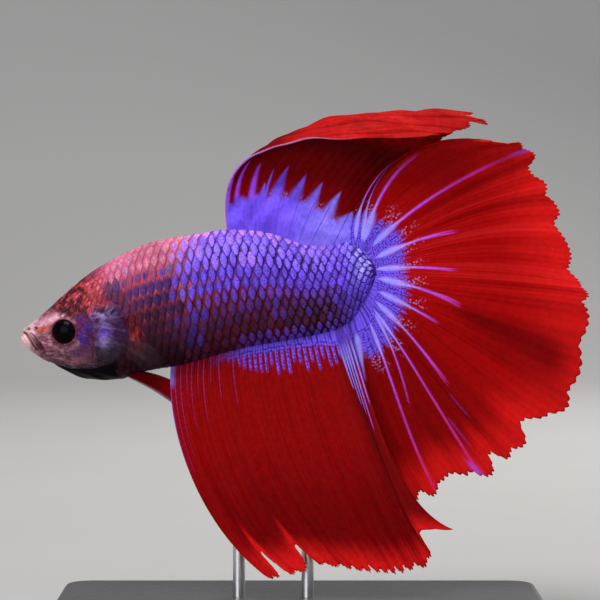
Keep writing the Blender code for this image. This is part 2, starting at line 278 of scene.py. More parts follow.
@dataclass
class Surface:
    """A closed mesh in the making: points in millimetres, quads, and what its material reads."""

    name: str
    points: Array
    quads: Array
    colours: dict[str, Array] = field(default_factory=dict)
    values: dict[str, Array] = field(default_factory=dict)
    maps: dict[str, Array] = field(default_factory=dict)

    def outward(self) -> None:
        """Turns every face round if the signed volume is negative.

        The volume is a sum of tetrahedra on the quads' halves: a . (b x c + c x d).
        """
        a, b, c, d = (self.points[self.quads[:, i]] for i in range(4))
        if np.einsum("ij,ij->i", a, np.cross(b, c) + np.cross(c, d)).sum() < 0:
            turned = [1, 0, 3, 2]
            self.quads = self.quads[:, turned]
            self.maps = {k: v.reshape(-1, 4, 2)[:, turned].reshape(-1, 2) for k, v in self.maps.items()}

    def build(self, material: bpy.types.Material, slot: Slot) -> bpy.types.Object:
        """Makes the mesh and its object, smooth shaded, and lets it ride on the one body.

        Args:
            material: Finish of the piece.
            slot: Record slot named for the piece; not used.

        Returns:
            The new object.
        """
        self.outward()
        mesh = bpy.data.meshes.new(self.name)
        tight = self.quads.astype(np.int32)
        mesh.vertices.add(len(self.points))
        mesh.vertices.foreach_set("co", (self.points * MM).astype(np.float32).ravel())
        keep = np.ones(tight.shape, bool)
        keep[tight[:, 2] == tight[:, 3], 3] = False
        loops = tight[keep]
        starts = np.concatenate([[0], np.cumsum(keep.sum(axis=1))[:-1]])
        mesh.loops.add(len(loops))
        mesh.loops.foreach_set("vertex_index", loops)
        mesh.polygons.add(len(tight))
        mesh.polygons.foreach_set("loop_start", starts.astype(np.int32))
        for label, table in self.maps.items():
            layer = mesh.uv_layers.new(name=label)
            layer.uv.foreach_set("vector", table.reshape(-1, 4, 2)[keep].astype(np.float32).ravel())
        mesh.update(calc_edges=True)
        mesh.validate()
        for label, table in self.colours.items():
            layer = mesh.color_attributes.new(name=label, type="FLOAT_COLOR", domain="POINT")
            opaque = np.column_stack([np.clip(table.reshape(-1, 3), 0, 1), np.ones(len(self.points))])
            layer.data.foreach_set("color", opaque.astype(np.float32).ravel())
        for label, table in self.values.items():
            layer = mesh.attributes.new(name=label, type="FLOAT", domain="POINT")
            layer.data.foreach_set("value", table.astype(np.float32).ravel())
        mesh.shade_smooth()
        mesh.materials.append(material)
        piece = bpy.data.objects.new(self.name, mesh)
        link(piece)
        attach(piece, "root")
        LOG.info("%s: %d points, %d faces", self.name, len(self.points), len(tight))
        return piece


def grid_quads(rows: int, columns: int, wrap: bool = False) -> Array:
    """Corner numbers of the quads of a grid whose points run along the columns first.

    Args:
        rows: Rows of points.
        columns: Points in a row.
        wrap: Whether the last column joins the first.

    Returns:
        Four corner numbers a quad.
    """
    i = np.arange(rows - 1)[:, None]
    j = np.arange(columns if wrap else columns - 1)[None, :]
    k = (j + 1) % columns
    corners = [i * columns + j, i * columns + k, (i + 1) * columns + k, (i + 1) * columns + j]
    return np.stack([np.broadcast_to(c, (len(i), j.shape[1])).ravel() for c in corners], axis=-1)


def shell_quads(rows: int, columns: int) -> Array:
    """Corner numbers of a thin body between two like grids: the front, the back turned round, and the rim.

    Args:
        rows: Rows of points in each grid.
        columns: Points in a row.

    Returns:
        Four corner numbers a quad, the front grid's points counted first.
    """
    count = rows * columns
    front = grid_quads(rows, columns)
    number = np.arange(count).reshape(rows, columns)
    rim = np.concatenate([number[0, :], number[1:, -1], number[-1, -2::-1], number[-2:0:-1, 0]])
    after = np.roll(rim, -1)
    band = np.stack([after, rim, rim + count, after + count], axis=-1)
    return np.concatenate([front, front[:, ::-1] + count, band])


def closed_quads(rows: int, columns: int) -> Array:
    """Corner numbers of a tube of rings that a fan closes at each end, round one more point each.

    Args:
        rows: Rings of points.
        columns: Points in a ring.

    Returns:
        Four corner numbers a quad; a fan's triangle names its tip twice.
    """
    count = rows * columns
    j = np.arange(columns)
    k = (j + 1) % columns
    last = count - columns
    first_fan = spread(k, j, count, count)
    last_fan = spread(last + j, last + k, count + 1, count + 1)
    return np.concatenate([grid_quads(rows, columns, wrap=True), first_fan, last_fan])


def unit_normals(points: Array) -> Array:
    """Normals of a grid: the cross product of its two directions of travel, brought to length 1."""
    normal = np.cross(np.gradient(points, axis=0), np.gradient(points, axis=1))
    return normal / np.maximum(np.linalg.norm(normal, axis=-1, keepdims=True), 1e-9)


class NodeBoard:
    """A material's node tree, with short ways to add and join nodes."""

    def __init__(self, name: str) -> None:
        """Starts an empty tree with its output.

        Args:
            name: Name of the material.
        """
        self.material = bpy.data.materials.new(name)
        self.material.use_nodes = True
        self.tree = self.material.node_tree
        self.tree.nodes.clear()
        self.output = self.tree.nodes.new("ShaderNodeOutputMaterial")

    def add(self, kind: str, inputs: dict | None = None, **settings: object) -> bpy.types.Node:
        """Adds a node, sets its properties, and fills its inputs with numbers or joins them to sockets.

        Args:
            kind: Blender's name of the node type.
            inputs: Socket name or number to a value or an output socket.
            **settings: Properties of the node.

        Returns:
            The node.
        """
        node = self.tree.nodes.new(kind)
        for key, value in settings.items():
            setattr(node, key, value)
        for key, value in (inputs or {}).items():
            if isinstance(value, Socket):
                self.tree.links.new(value, node.inputs[key])
            else:
                node.inputs[key].default_value = value
        return node

    def math(self, operation: str, *terms: object) -> Socket:
        """A Math node's result, from numbers or sockets in order."""
        return self.add("ShaderNodeMath", dict(enumerate(terms)), operation=operation).outputs[0]

    def scaled(self, number: Socket, factor: object, offset: object = 0.0) -> Socket:
        """A number times a factor, plus an offset."""
        return self.math("MULTIPLY_ADD", number, factor, offset)

    def step(self, number: Socket, low: object, high: object, **settings: object) -> Socket:
        """A step from 0 at low to 1 at high."""
        return self.add("ShaderNodeMapRange", {0: number, 1: low, 2: high}, **settings).outputs[0]

    def vector(self, *parts: object) -> Socket:
        """A vector of up to three numbers."""
        return self.add("ShaderNodeCombineXYZ", dict(enumerate(parts))).outputs[0]

    def lay(self, name: str) -> tuple[Socket, Socket]:
        """The two numbers of a UV map.

        Args:
            name: The map.

        Returns:
            Both numbers.
        """
        place = self.add("ShaderNodeUVMap", uv_map=name).outputs[0]
        parts = self.add("ShaderNodeSeparateXYZ", {0: place}).outputs
        return parts[0], parts[1]

    def toned(self, colour: Socket, tone: Socket) -> Socket:
        """A colour times a number."""
        return self.blend(1.0, colour, self.vector(tone, tone, tone), "MULTIPLY")

    def blend(self, share: object, a: object, b: object, kind: str = "MIX") -> Socket:
        """Adds a colour Mix node.

        Args:
            share: Number or socket, 0 for a and 1 for b.
            a: Colour or socket.
            b: Colour or socket.
            kind: Blend type.

        Returns:
            The mixed colour.
        """
        a, b = ((*c, 1.0) if isinstance(c, tuple) and len(c) == 3 else c for c in (a, b))
        node = self.add("ShaderNodeMix", {0: share, 6: a, 7: b}, data_type="RGBA", blend_type=kind)
        return node.outputs[2]

    def colour(self, name: str) -> Socket:
        """The colour of a named attribute."""
        return self.add("ShaderNodeAttribute", attribute_name=name).outputs["Color"]

    def value(self, name: str) -> Socket:
        """The number of a named attribute."""
        return self.add("ShaderNodeAttribute", attribute_name=name).outputs["Fac"]

    def place(self) -> Socket:
        """Object coordinates."""
        return self.add("ShaderNodeTexCoord").outputs["Object"]

    def noise(self, scale: float, detail: float = 3.0) -> Socket:
        """Noise on Object coordinates, scale in cells a metre."""
        node = self.add("ShaderNodeTexNoise", {"Vector": self.place(), "Scale": scale, "Detail": detail})
        return node.outputs["Fac"]

    def bump(self, height: Socket, depth: float, strength: float = 1.0) -> Socket:
        """A Bump node's normal, depth in metres."""
        node = self.add("ShaderNodeBump", {"Height": height, "Distance": depth, "Strength": strength})
        return node.outputs["Normal"]

    def close(self, shader: Socket) -> bpy.types.Material:
        """Joins the shader to the output and gives back the material."""
        self.tree.links.new(shader, self.output.inputs["Surface"])
        return self.material

    def principled(self, **inputs: object) -> Socket:
        """A Principled shader, its inputs named with underscores for spaces."""
        named = {key.replace("_", " "): value for key, value in inputs.items()}
        return self.add("ShaderNodeBsdfPrincipled", named).outputs[0]


@dataclass(frozen=True)
class SkinFinish:
    """Wet skin under and between the scales: markings from the mesh, fine mottle and pores from noise."""

    roughness: float = 0.42
    coat: float = 0.02
    pore_depth: float = 0.00006

    def material(self) -> bpy.types.Material:
        """Builds the material.

        Returns:
            The finished material.
        """
        board = NodeBoard("fish_skin")
        fine = board.scaled(board.noise(5200.0, 4.0), 0.55, 0.72)
        return board.close(board.principled(
            Base_Color=board.toned(board.colour("marking"), fine),
            Roughness=board.scaled(board.noise(2600.0), 0.22, self.roughness - 0.11),
            Coat_Weight=self.coat,
            Coat_Roughness=0.25,
            Specular_IOR_Level=0.04,
            Normal=board.bump(board.noise(3800.0, 5.0), self.pore_depth, 0.6)))


@dataclass(frozen=True)
class ScaleFinish:
    """Shining scale: a soft-edged pointed oval over the rim's colour, with growth rings, on its own lay."""

    name: str
    roughness: float = 0.42
    growth_rings: float = 80.0
    ring_bend: float = 9.0
    ring_depth: float = 0.00004
    speck_size: float = 4600.0
    edge: float = 0.92
    roundness: float = 1.5

    def material(self) -> bpy.types.Material:
        """Builds the material.

        The oval is (|p| / half_length)^1.5 + (|q| / half_height)^1.5 < 1, with p along the scale and q across
        it, its edge broken by noise and softened by the blur. Growth rings are a sine of the distance.

        Returns:
            The finished material.
        """
        board = NodeBoard(self.name)
        p, q = (board.math("ABSOLUTE", board.scaled(part, 2.0, -1.0)) for part in board.lay("ScaleLay"))
        along, across = (
            board.math("POWER", board.math("DIVIDE", part, board.value(name)), self.roundness)
            for part, name in ((p, "half_length"), (q, "half_height")))
        specks = board.noise(self.speck_size, 4.0)
        ragged = board.scaled(board.noise(6500.0, 2.0), 0.8, -0.4)
        reach = board.math("ADD", board.math("ADD", along, across), ragged)
        blur = board.value("blur")
        outer, inner = (board.math(way, self.edge, blur) for way in ("ADD", "SUBTRACT"))
        oval = board.step(reach, outer, inner, interpolation_type="SMOOTHSTEP")
        bright = board.toned(board.colour("patch"), board.scaled(specks, 2.9, -0.45))
        bent = board.scaled(p, self.growth_rings, board.math("MULTIPLY", q, self.ring_bend))
        height = board.scaled(board.math("SINE", bent), 0.25, specks)
        return board.close(board.principled(
            Base_Color=board.blend(oval, board.colour("rim"), bright),
            Roughness=self.roughness,
            Coat_Weight=0.04,
            Coat_Roughness=0.2,
            Specular_IOR_Level=0.1,
            Normal=board.bump(height, self.ring_depth, 0.5)))


@dataclass(frozen=True)
class FinFinish:
    """Thin fin membrane: markings, fine rays as colour and relief, a net of beads, and light through it."""

    name: str
    fine_rays: float
    glow: float = 0.22
    roughness: float = 0.5
    ray_depth: float = 0.00006
    speckle_size: float = 2900.0
    bead_rays: float = 60.0
    bead_rows: float = 70.0
    clear: float = 0.0
    contrast: float = 0.5
    ray_tone: float = 0.14
    patchy: float = 0.5

    def material(self) -> bpy.types.Material:
        """Builds the material.

        Each fine ray is a ridge where the sine of the lay's first number times the ray count peaks. Streaks
        are noise drawn out along the rays, and speckles and beads are round cells.

        Returns:
            The finished material.
        """
        board = NodeBoard(self.name)
        across, out = board.lay("RayLay")
        waver = board.scaled(board.noise(260.0, 2.0), 1.6, -0.8)
        phase = board.math("ADD", board.math("MULTIPLY", across, self.fine_rays * math.tau), waver)
        ridge = board.scaled(board.math("SINE", phase), 0.5, 0.5)
        drawn = board.vector(
            board.math("MULTIPLY", across, self.fine_rays * 0.9), board.math("MULTIPLY", out, 2.2))
        streak = board.add(
            "ShaderNodeTexNoise", {"Vector": drawn, "Scale": 1.0, "Detail": 3.0},
            noise_dimensions="2D").outputs["Fac"]
        cloud = board.scaled(board.noise(1500.0, 4.0), self.patchy, -0.5 * self.patchy)
        lines = board.scaled(ridge, self.ray_tone, 0.97 - 0.5 * self.ray_tone - 0.5 * self.contrast)
        tone = board.math("ADD", board.scaled(streak, self.contrast, lines), cloud)
        shaded = board.toned(board.colour("marking"), tone)
        spots = board.add("ShaderNodeTexVoronoi", {"Vector": board.place(), "Scale": self.speckle_size})
        spot = board.step(spots.outputs["Distance"], 0.46, 0.28)
        dusted = board.math("MULTIPLY", spot, board.value("speckle"))
        dusty = board.blend(dusted, shaded, tuple(Hue.ORCHID * 0.9))
        cells = board.vector(
            board.scaled(across, self.bead_rays, 0.5), board.math("MULTIPLY", out, self.bead_rows))
        net = board.add(
            "ShaderNodeTexVoronoi", {"Vector": cells, "Scale": 1.0, "Randomness": 0.45},
            voronoi_dimensions="2D")
        bead = board.step(net.outputs["Distance"], 0.55, 0.3)
        beaded = board.blend(bead, tuple(Hue.DEEP_BLUE * 1.2), tuple(Hue.SHINE_BLUE * 1.15))
        colour = board.blend(board.value("beads"), dusty, beaded)
        height = board.math("ADD", board.math("MULTIPLY", ridge, 0.6), board.math("MULTIPLY", streak, 0.8))
        normal = board.bump(height, self.ray_depth, 0.9)
        skin = board.principled(
            Base_Color=colour, Roughness=self.roughness, Specular_IOR_Level=0.04, Normal=normal)
        through = board.add("ShaderNodeBsdfTranslucent", {"Color": colour, "Normal": normal}).outputs[0]
        both = board.add("ShaderNodeMixShader", {0: self.glow, 1: skin, 2: through}).outputs[0]
        if self.clear > 0:
            window = board.scaled(board.math("POWER", ridge, 9.0), -0.3, self.clear)
            bare = board.add("ShaderNodeBsdfTransparent").outputs[0]
            both = board.add("ShaderNodeMixShader", {0: window, 1: both, 2: bare}).outputs[0]
        return board.close(both)


@dataclass(frozen=True)
class EyeFinish:
    """Wet black eye with a barely lighter ring round its edge."""

    roughness: float = 0.2

    def material(self) -> bpy.types.Material:
        """Builds the material.

        Returns:
            The finished material.
        """
        board = NodeBoard("eye_wet_black")
        grain = board.math("MULTIPLY", board.noise(3000.0), 0.6)
        return board.close(board.principled(
            Base_Color=board.blend(grain, board.colour("marking"), (0.002, 0.002, 0.003)),
            Roughness=self.roughness,
            Specular_IOR_Level=0.02,
            Coat_Weight=0.015,
            Coat_Roughness=0.15))


@dataclass(frozen=True)
class StandFinish:
    """Satin stand finishes: a cast plate or a drawn steel rod, each with its own fine texture."""

    name: str
    colour: Triple
    metallic: float
    roughness: float
    stretch: Triple
    grain: float

    def material(self) -> bpy.types.Material:
        """Builds the material, with noise stretched along the drawing direction.

        Returns:
            The finished material.
        """
        board = NodeBoard(self.name)
        lay = board.add("ShaderNodeMapping", {"Vector": board.place(), "Scale": self.stretch}).outputs[0]
        drawn = {"Vector": lay, "Scale": self.grain, "Detail": 4.0}
        noise = board.add("ShaderNodeTexNoise", drawn).outputs["Fac"]
        dark, pale = (tuple(min(part * strength, 1) for part in self.colour) for strength in (0.8, 1.25))
        return board.close(board.principled(
            Base_Color=board.blend(noise, dark, pale),
            Metallic=self.metallic,
            Roughness=board.scaled(noise, 0.16, self.roughness - 0.08),
            Normal=board.bump(noise, 0.00002, 0.4)))


@dataclass
class BodyLine:
    """The fish's body as stations: distance from the snout, back, belly and half width.

    widest is the height of a section's widest place as a share of its depth. Behind keel_start the back and
    belly narrow by their keel powers, fully after keel_length.
    """

    pitch: float = math.radians(9.8)
    snout: tuple[float, float] = (-36.14, 39.4)
    stations: tuple[tuple[float, float, float, float], ...] = (
        (-0.2, -0.45, -0.45, 0.0), (0.3, 0.72, -1.62, 1.15), (1.3, 1.32, -2.75, 1.75),
        (2.8, 2.08, -4.1, 2.35), (4.5, 3.17, -5.5, 3.0), (6.5, 4.45, -6.85, 3.6), (9.0, 5.95, -7.6, 4.25),
        (12.0, 7.32, -7.95, 4.7), (15.0, 8.42, -7.5, 4.85), (19.0, 9.2, -7.5, 4.8), (24.0, 9.22, -7.0, 4.5),
        (29.0, 9.05, -6.65, 3.95), (34.0, 7.75, -6.65, 3.25), (38.0, 5.65, -6.55, 2.6),
        (41.5, 4.8, -6.1, 2.0), (44.2, 4.75, -4.0, 1.45), (46.0, 3.0, -1.7, 1.0), (46.9, 0.4, 0.4, 0.0))
    widest: float = 0.48
    keel_start: float = 12.0
    keel_length: float = 14.0
    back_keel: float = 0.1
    belly_keel: float = 0.35
    arc_steps: int = 360

    @property
    def ends(self) -> tuple[float, float]:
        """Distance of the first and the last station."""
        return self.stations[0][0], self.stations[-1][0]

    def share_of(self, distance: Array) -> Array:
        """Share of the way to the tail, arccos spaced so that both ends come out round."""
        first, last = self.ends
        return np.arccos(np.clip(1 - 2 * (np.asarray(distance) - first) / (last - first), -1, 1)) / math.pi

    def distance_of(self, share: Array) -> Array:
        """Distance from the snout of a share of the way to the tail."""
        first, last = self.ends
        return first + (last - first) * (1 - np.cos(math.pi * np.asarray(share))) / 2

    def to_frame(self, distance: Array, side: Array, height: Array) -> Array:
        """Places points of the body's line in the part's frame by turning them through the pitch.

        Args:
            distance: Along the body from the snout.
            side: Sideways.
            height: Above the axis.

        Returns:
            Points, last axis 3.
        """
        c, s = math.cos(self.pitch), math.sin(self.pitch)
        x = self.snout[0] + distance * c - height * s
        z = self.snout[1] + distance * s + height * c
        return spread(x, side, z)

    def sections(self, share: Array, turn: Array) -> Array:
        """Cross-sections as ovals whose belly narrows to a keel behind the gills.

        Half width times |sin|^power gives the side, and back or belly times cos gives the height. Points are
        spaced evenly by length round each section: the angle is read back from the running length.

        Args:
            share: Shares of the way to the tail.
            turn: Shares of the way round, 0 on the back, 0.5 on the belly, left side first.

        Returns:
            Distance, side and height, shares by turns by 3.
        """
        table = np.array(self.stations)
        sizes = smooth_through(share, self.share_of(table[:, 0]), table[:, 1:])
        distance = self.distance_of(share)[:, None]
        back, belly, half = (sizes[:, i:i + 1] for i in range(3))
        middle = belly + (back - belly) * self.widest
        keel = np.clip((distance - self.keel_start) / self.keel_length, 0, 1)

        def oval(angle: Array) -> tuple[Array, Array]:
            """Side and height of the sections at each angle.

            Args:
                angle: From 0 on the back, shares by places.

            Returns:
                Side and height.
            """
            down = np.cos(angle) < 0
            power = 1 + np.where(down, self.belly_keel * keel, self.back_keel * keel)
            side = -np.sign(np.sin(angle)) * half * np.abs(np.sin(angle)) ** power
            return side, middle + np.where(down, middle - belly, back - middle) * np.cos(angle)

        fine = np.linspace(0, math.tau, self.arc_steps + 1)[None, :]
        side, height = oval(fine)
        steps = np.hypot(np.diff(side, axis=1), np.diff(height, axis=1)) + 1e-9
        length = np.concatenate([np.zeros((len(share), 1)), np.cumsum(steps, axis=1)], axis=1)
        nearly = 0.999999
        ring = np.arange(len(share))[:, None]
        length = length / length[:, -1:] * nearly + ring
        wanted = turn[None, :] * nearly + ring
        angles = np.broadcast_to(fine, length.shape)
        angle = np.interp(wanted.ravel(), length.ravel(), angles.ravel()).reshape(wanted.shape)
        side, height = oval(angle)
        return spread(distance, side, height)


@dataclass(frozen=True)
class Places:
    """Places on the body.

    s is the distance from the snout, h the height above the axis, and level runs from 0 on the back to 1 on
    the belly by length round the section. points are the same places in the part's frame, for the mottle.
    """

    s: Array
    h: Array
    level: Array
    points: Array | None = None


@dataclass
class Markings:
    """Where each colour of the fish lies, as smooth fields on the body's own line."""

    gill_edge: Line = (
        (11.2, 2.6), (12.6, 2.5), (13.5, 1.7), (14.0, -0.4), (13.75, -3.0), (13.1, -4.5), (11.4, -5.25),
        (8.6, -5.75), (5.4, -5.2), (3.0, -4.05))
    cheek_line: Line = ((9.95, 1.0), (9.6, -1.0), (9.35, -3.0), (8.8, -5.0))
    gape: Line = ((0.1, 0.55), (0.66, 0.15), (1.02, -0.65), (1.38, -1.6), (1.7, -2.1))
    maxilla: Line = ((1.35, 0.1), (1.75, -0.4), (2.14, -1.2), (2.62, -2.12))
    # Middle of the painted shade between the gape and the maxilla.
    lip_shade: Line = ((1.15, 0.0), (1.5, -0.6), (1.85, -1.3), (2.25, -1.95))
    eye_at: tuple[float, float] = (5.72, -0.39)
    eye_radius: float = 1.5
    nostrils: Line = ((2.1, 0.68), (1.05, 0.72))
    crown_line: Line = (
        (3.2, 2.0), (4.3, 2.7), (5.0, 2.45), (5.8, 1.75), (7.3, 1.5), (9.6, 1.25), (11.4, 1.5), (13.2, 1.6))
    swirl: Line = ((9.9, 0.8), (11.2, 0.95), (12.2, 1.35), (13.2, 1.9))
    collar: Line = ((12.5, 4.3), (13.2, 3.0), (14.0, 1.5))
    old_wound: tuple[float, float] = (22.85, 1.2)
    mottles: Line = ((1.3, 1), (0.62, 2), (0.3, 3), (0.42, 4), (0.16, 9))
    cheek_spots: tuple[tuple[float, float, float, float], ...] = (
        (8.4, 0.8, 0.9, 0.55), (8.2, 0.6, -0.7, 1.0), (7.6, 0.8, -2.2, 0.6))

    def past_gill(self, at: Places) -> Array:
        """Distance from the gill cover's edge, below 0 on the cover."""
        gap, side, _ = line_distance(at.s, at.h, self.gill_edge)
        return side * gap

    def off_eye(self, at: Places) -> Array:
        """Distance from the eye's edge, below 0 on the eye."""
        return np.hypot(at.s - self.eye_at[0], at.h - self.eye_at[1]) - self.eye_radius

    def above_crown(self, at: Places) -> Array:
        """Height over the line where the red crown begins."""
        return at.h - np.interp(at.s, *np.array(self.crown_line).T)

    def head_shade(self, at: Places) -> Array:
        """Colours of the head's skin: patches laid one over another, their soft edges broken up by mottle.

        Args:
            at: Places of the skin.

        Returns:
            One colour a place.
        """
        s, h = at.s, at.h
        coarse, mid, fine, spots, grain = (mottle(at.points, size, seed) for size, seed in self.mottles)
        wavy = mottle(at.points * (0.4, 1.0, 1.7), 0.3, 12)
        blot = 0.5 * mid + 0.3 * fine + 0.2 * coarse
        away = ramp(s - 0.15 * h + 1.2 * (blot - 0.5), 1.5, 2.7)
        dust = mix(
            Hue.DUSTY * 0.6,
            (Hue.DUSTY * 1.25, ramp(0.5 * fine + 0.5 * wavy, 0.25, 0.65)),
            (Hue.PEACH * 0.8, ramp(0.5 * spots + 0.5 * wavy, 0.55, 0.75) * 0.6))
        brow = bell((s - 4.2) / 1.6, (h - 1.45 - 0.25 * (s - 4.3)) / 0.55) * (0.85 + 1.1 * (mid - 0.45))
        above = self.above_crown(at)
        crown = ramp(above + 1.1 * (blot - 0.5), -0.2, 0.35) * ramp(s, 2.9, 3.8)
        lit = 0.5 * spots + 0.3 * mid + 0.2 * fine + 0.022 * (s - 8.0)
        red = mix(
            Hue.MAROON * 1.2,
            (Hue.BLOOD, ramp(lit, 0.38, 0.5)),
            (Hue.EMBER, ramp(lit, 0.48, 0.62)),
            (Hue.SALMON * 1.2, ramp(lit, 0.58, 0.7) * ramp(fine, 0.5, 0.7) * 0.7))
        red = red * (1.0 - 0.45 * ramp(s, 9.0, 11.5))[..., None]
        red = mix(red, (Hue.MAROON, ramp(fine + 0.4 * grain, 0.5, 0.3) * 0.75))
        cheek = ramp(s + 1.2 * (blot - 0.5), 6.9, 7.9) * ramp(above + 0.9 * (mid - 0.5), 0.3, -0.3)
        violet = mix(
            Hue.CHEEK * 0.8,
            (Hue.CLARET * 0.7, ramp(coarse, 0.45, 0.7)),
            (Hue.DEEP_BLUE * 0.6, ramp(mid, 0.5, 0.8) * 0.7),
            (Hue.PALE_PINK * 0.35, ramp(wavy, 0.6, 0.8) * 0.5 * ramp(h, 0.5, -1.0)),
            (Hue.MAROON * 0.6, ramp(spots, 0.5, 0.7) * 0.85))
        for along, wide, up, tall in self.cheek_spots:
            spot = bell((s - along) / wide, (h - up) / tall)
            violet = mix(violet, (Hue.BLUE * 0.42, spot * ramp(0.5 * fine + 0.5 * grain, 0.3, 0.7) * 0.9))
        low = ramp(h + 0.9 * (blot - 0.5), -1.9, -3.0) * ramp(s, 2.2, 3.6)
        dusky = mix(
            Hue.SMOKE * 1.15,
            (Hue.DUSTY * 1.05, ramp(0.6 * wavy + 0.4 * fine, 0.28, 0.62)),
            (Hue.PEACH * 0.6, ramp(wavy, 0.58, 0.8) * ramp(s, 7.5, 4.5) * 0.7),
            (Hue.CHEEK * 0.9, ramp(s, 5.0, 7.5) * ramp(h, -4.3, -3.3) * 0.75),
            (Hue.SMOKE * (0.4 + 1.1 * ramp(wavy, 0.3, 0.7))[..., None], ramp(h + 0.2 * s, -3.2, -3.8) * 0.85))
        colour = mix(
            Hue.PEACH,
            (Hue.BLUSH, ramp(fine, 0.4, 0.8)),
            (dust, away),
            (Hue.BLUSH * 1.1, brow),
            (red, crown),
            (violet, cheek),
            (dusky, low * 0.95))
        return self.gill_shade(colour * (0.6 + 0.75 * grain)[..., None], at, fine, mid)

    def gill_shade(self, colour: Array, at: Places, fine: Array, mid: Array) -> Array:
        """Lays the gill cover, the black membrane below it, nostrils and mouth over the head's colours.

        Args:
            colour: Colours so far.
            at: Places of the skin.
            fine: Fine mottle.
            mid: Middling mottle.

        Returns:
            One colour a place.
        """
        s, h = at.s, at.h
        gap, side, along = line_distance(s, h, self.gill_edge)
        cover = ramp(s - 0.19 * h + 1.2 * (fine - 0.5), 9.2, 10.4) * ramp(side * gap, 0.12, -0.12)
        turn = np.arctan2(h - 0.4, s - 8.2)
        fan = ramp(np.sin(turn * 38 + 4 * mid) * np.sin(turn * 17 + 1.0), 0.1, 0.9)
        grain = mottle(np.stack([s, h, 0 * s], axis=-1), 0.2, 14)
        lilac = mix(
            Hue.CHEEK * 0.75,
            (Hue.LILAC * 0.6, ramp(mid, 0.3, 0.8)),
            (Hue.MAROON, ramp(fine, 0.55, 0.8) * 0.6),
            (Hue.LILAC * 0.95, fan * ramp(s, 10.2, 11.0) * (0.25 + 0.45 * fine)),
            (Hue.LILAC * 1.5, bell((s - 10.8) / 0.8, (h + 2.3) / 1.2) * (0.1 + 0.8 * fine)),
            (Hue.BLUE * 0.65, bell((s - 10.95) / 0.8, (h + 1.3) / 0.7) * (0.3 + 0.6 * fine)),
            (Hue.ROSE * 0.4, ramp(fine, 0.55, 0.85) * ramp(h, -1.2, 0.6) * ramp(s, 11.4, 10.2)),
            (Hue.CHEEK * 0.55, ramp(s - 0.18 * h, 11.5, 13.0) * (0.9 - 0.35 * fan)),
            (Hue.SMOKE * 0.45, ramp(h, -2.4, -3.8) * 0.85))
        lilac = lilac * (0.45 + 1.1 * grain)[..., None]
        veil = bell((s - 11.4) / 1.7, (h - 1.2) / 0.7)
        wisps = mix(Hue.CHEEK * 0.6, (Hue.LILAC * 1.4, ramp(0.5 * mid + 0.5 * grain, 0.42, 0.62)))
        curl = bell((s - 12.7) / 1.0, (h - 1.25 + 0.2 * (s - 12.5) ** 2) / 0.55)
        wisp, _, _ = line_distance(s, h + 0.25 * (mid - 0.5), self.swirl)
        below = ramp(side * gap, 0.0, 0.25) * ramp(along, 0.56, 0.66)
        line, _, _ = line_distance(s, h, self.cheek_line)
        glow = bell((s - 2.95) / 0.75, (h - 0.41 - 0.1 * (s - 2.95)) / 0.26)
        colour = mix(
            colour,
            (lilac, cover * ramp(h, 2.2, 0.9)),
            (wisps, veil * 0.9),
            (Hue.DARK_BLUE * 0.7, curl * ramp(fine, 0.15, 0.4)),
            (Hue.LILAC * 1.5, bell(wisp / 0.14) * (0.25 + 0.6 * fine)),
            (Hue.BLACK * (0.2 + 0.8 * fine[..., None]), below),
            (Hue.ORANGE * 0.35, bell(line / 0.07) * 0.35),
            (Hue.ORANGE * (0.5 + 0.7 * fine[..., None]), np.minimum(glow * 1.5, 0.97)))
        for out, up in self.nostrils:
            colour = mix(colour, (Hue.MAROON, bell((s - out) / 0.24, (h - up) / 0.16)))
        lip = ramp(s - 0.45 * h, 2.0, 1.2) * ramp(h, 0.3, -0.3)
        # Painted shade in the mouth's creases: a dark fill between gape and maxilla, dark lines along both.
        inner, _, deep = line_distance(s, h, self.lip_shade)
        crease_shade = mix(Hue.MAROON * 1.3, (Hue.DUSTY * 0.6, ramp(fine, 0.45, 0.85) * 0.5))
        mouth, _, reach = line_distance(s, h, self.gape)
        fold, _, drop = line_distance(s, h, self.maxilla)
        ring = self.off_eye(at)
        return mix(
            colour,
            (Hue.PEACH * (1.7 + 0.6 * fine[..., None]), lip * 0.85),
            (crease_shade, bell(inner / (0.14 + 0.3 * deep)) * (0.75 + 0.2 * deep)),
            (Hue.BLOOD * 0.35, bell(mouth / (0.14 + 0.16 * reach)) * 0.9),
            (Hue.MAROON * 1.4, bell(fold / (0.1 + 0.16 * drop)) * 0.8),
            (Hue.MAROON * 1.3, bell((ring - 0.02) / 0.2) * 0.85),
            (Hue.BLACK, ramp(ring, 0.0, -0.1)))

    def ovals(self, at: Places, seed: Array) -> tuple[Array, Array, Array]:
        """Size of each scale's bright oval: tall diamonds on the blue back, rounder on the nape, small below.

        Args:
            at: Places of the scales.
            seed: A random number for each scale.

        Returns:
            Half length in pitches, half height in rows, and how soft the edge is, one a scale.
        """
        s, level = at.s, at.level
        front = ramp(s, 24.0, 20.5)
        low = ramp(level, 0.3, 0.42) * ramp(s, 46, 36)
        length = (0.4 - 0.05 * low) * (1 - front) + front * (0.33 + 0.08 * ramp(level, 0.27, 0.33))
        rear = 0.74 - 0.14 * low + 0.04 * ramp(level, 0.78, 0.86)
        fore = 0.38 + 0.16 * ramp(level, 0.27, 0.33) + 0.06 * ramp(level, 0.5, 0.7)
        height = rear * (1 - front) + fore * front
        size = 0.84 + (0.26 + 0.1 * front) * seed
        return length * size, height * size, 0.2 + 0.3 * front

    def collar_share(self, at: Places) -> Array:
        """Share of the dark collar that runs down from the nape to the top of the gill cover."""
        return ramp(line_distance(at.s, at.h, self.collar)[0], 1.5, 0.5)

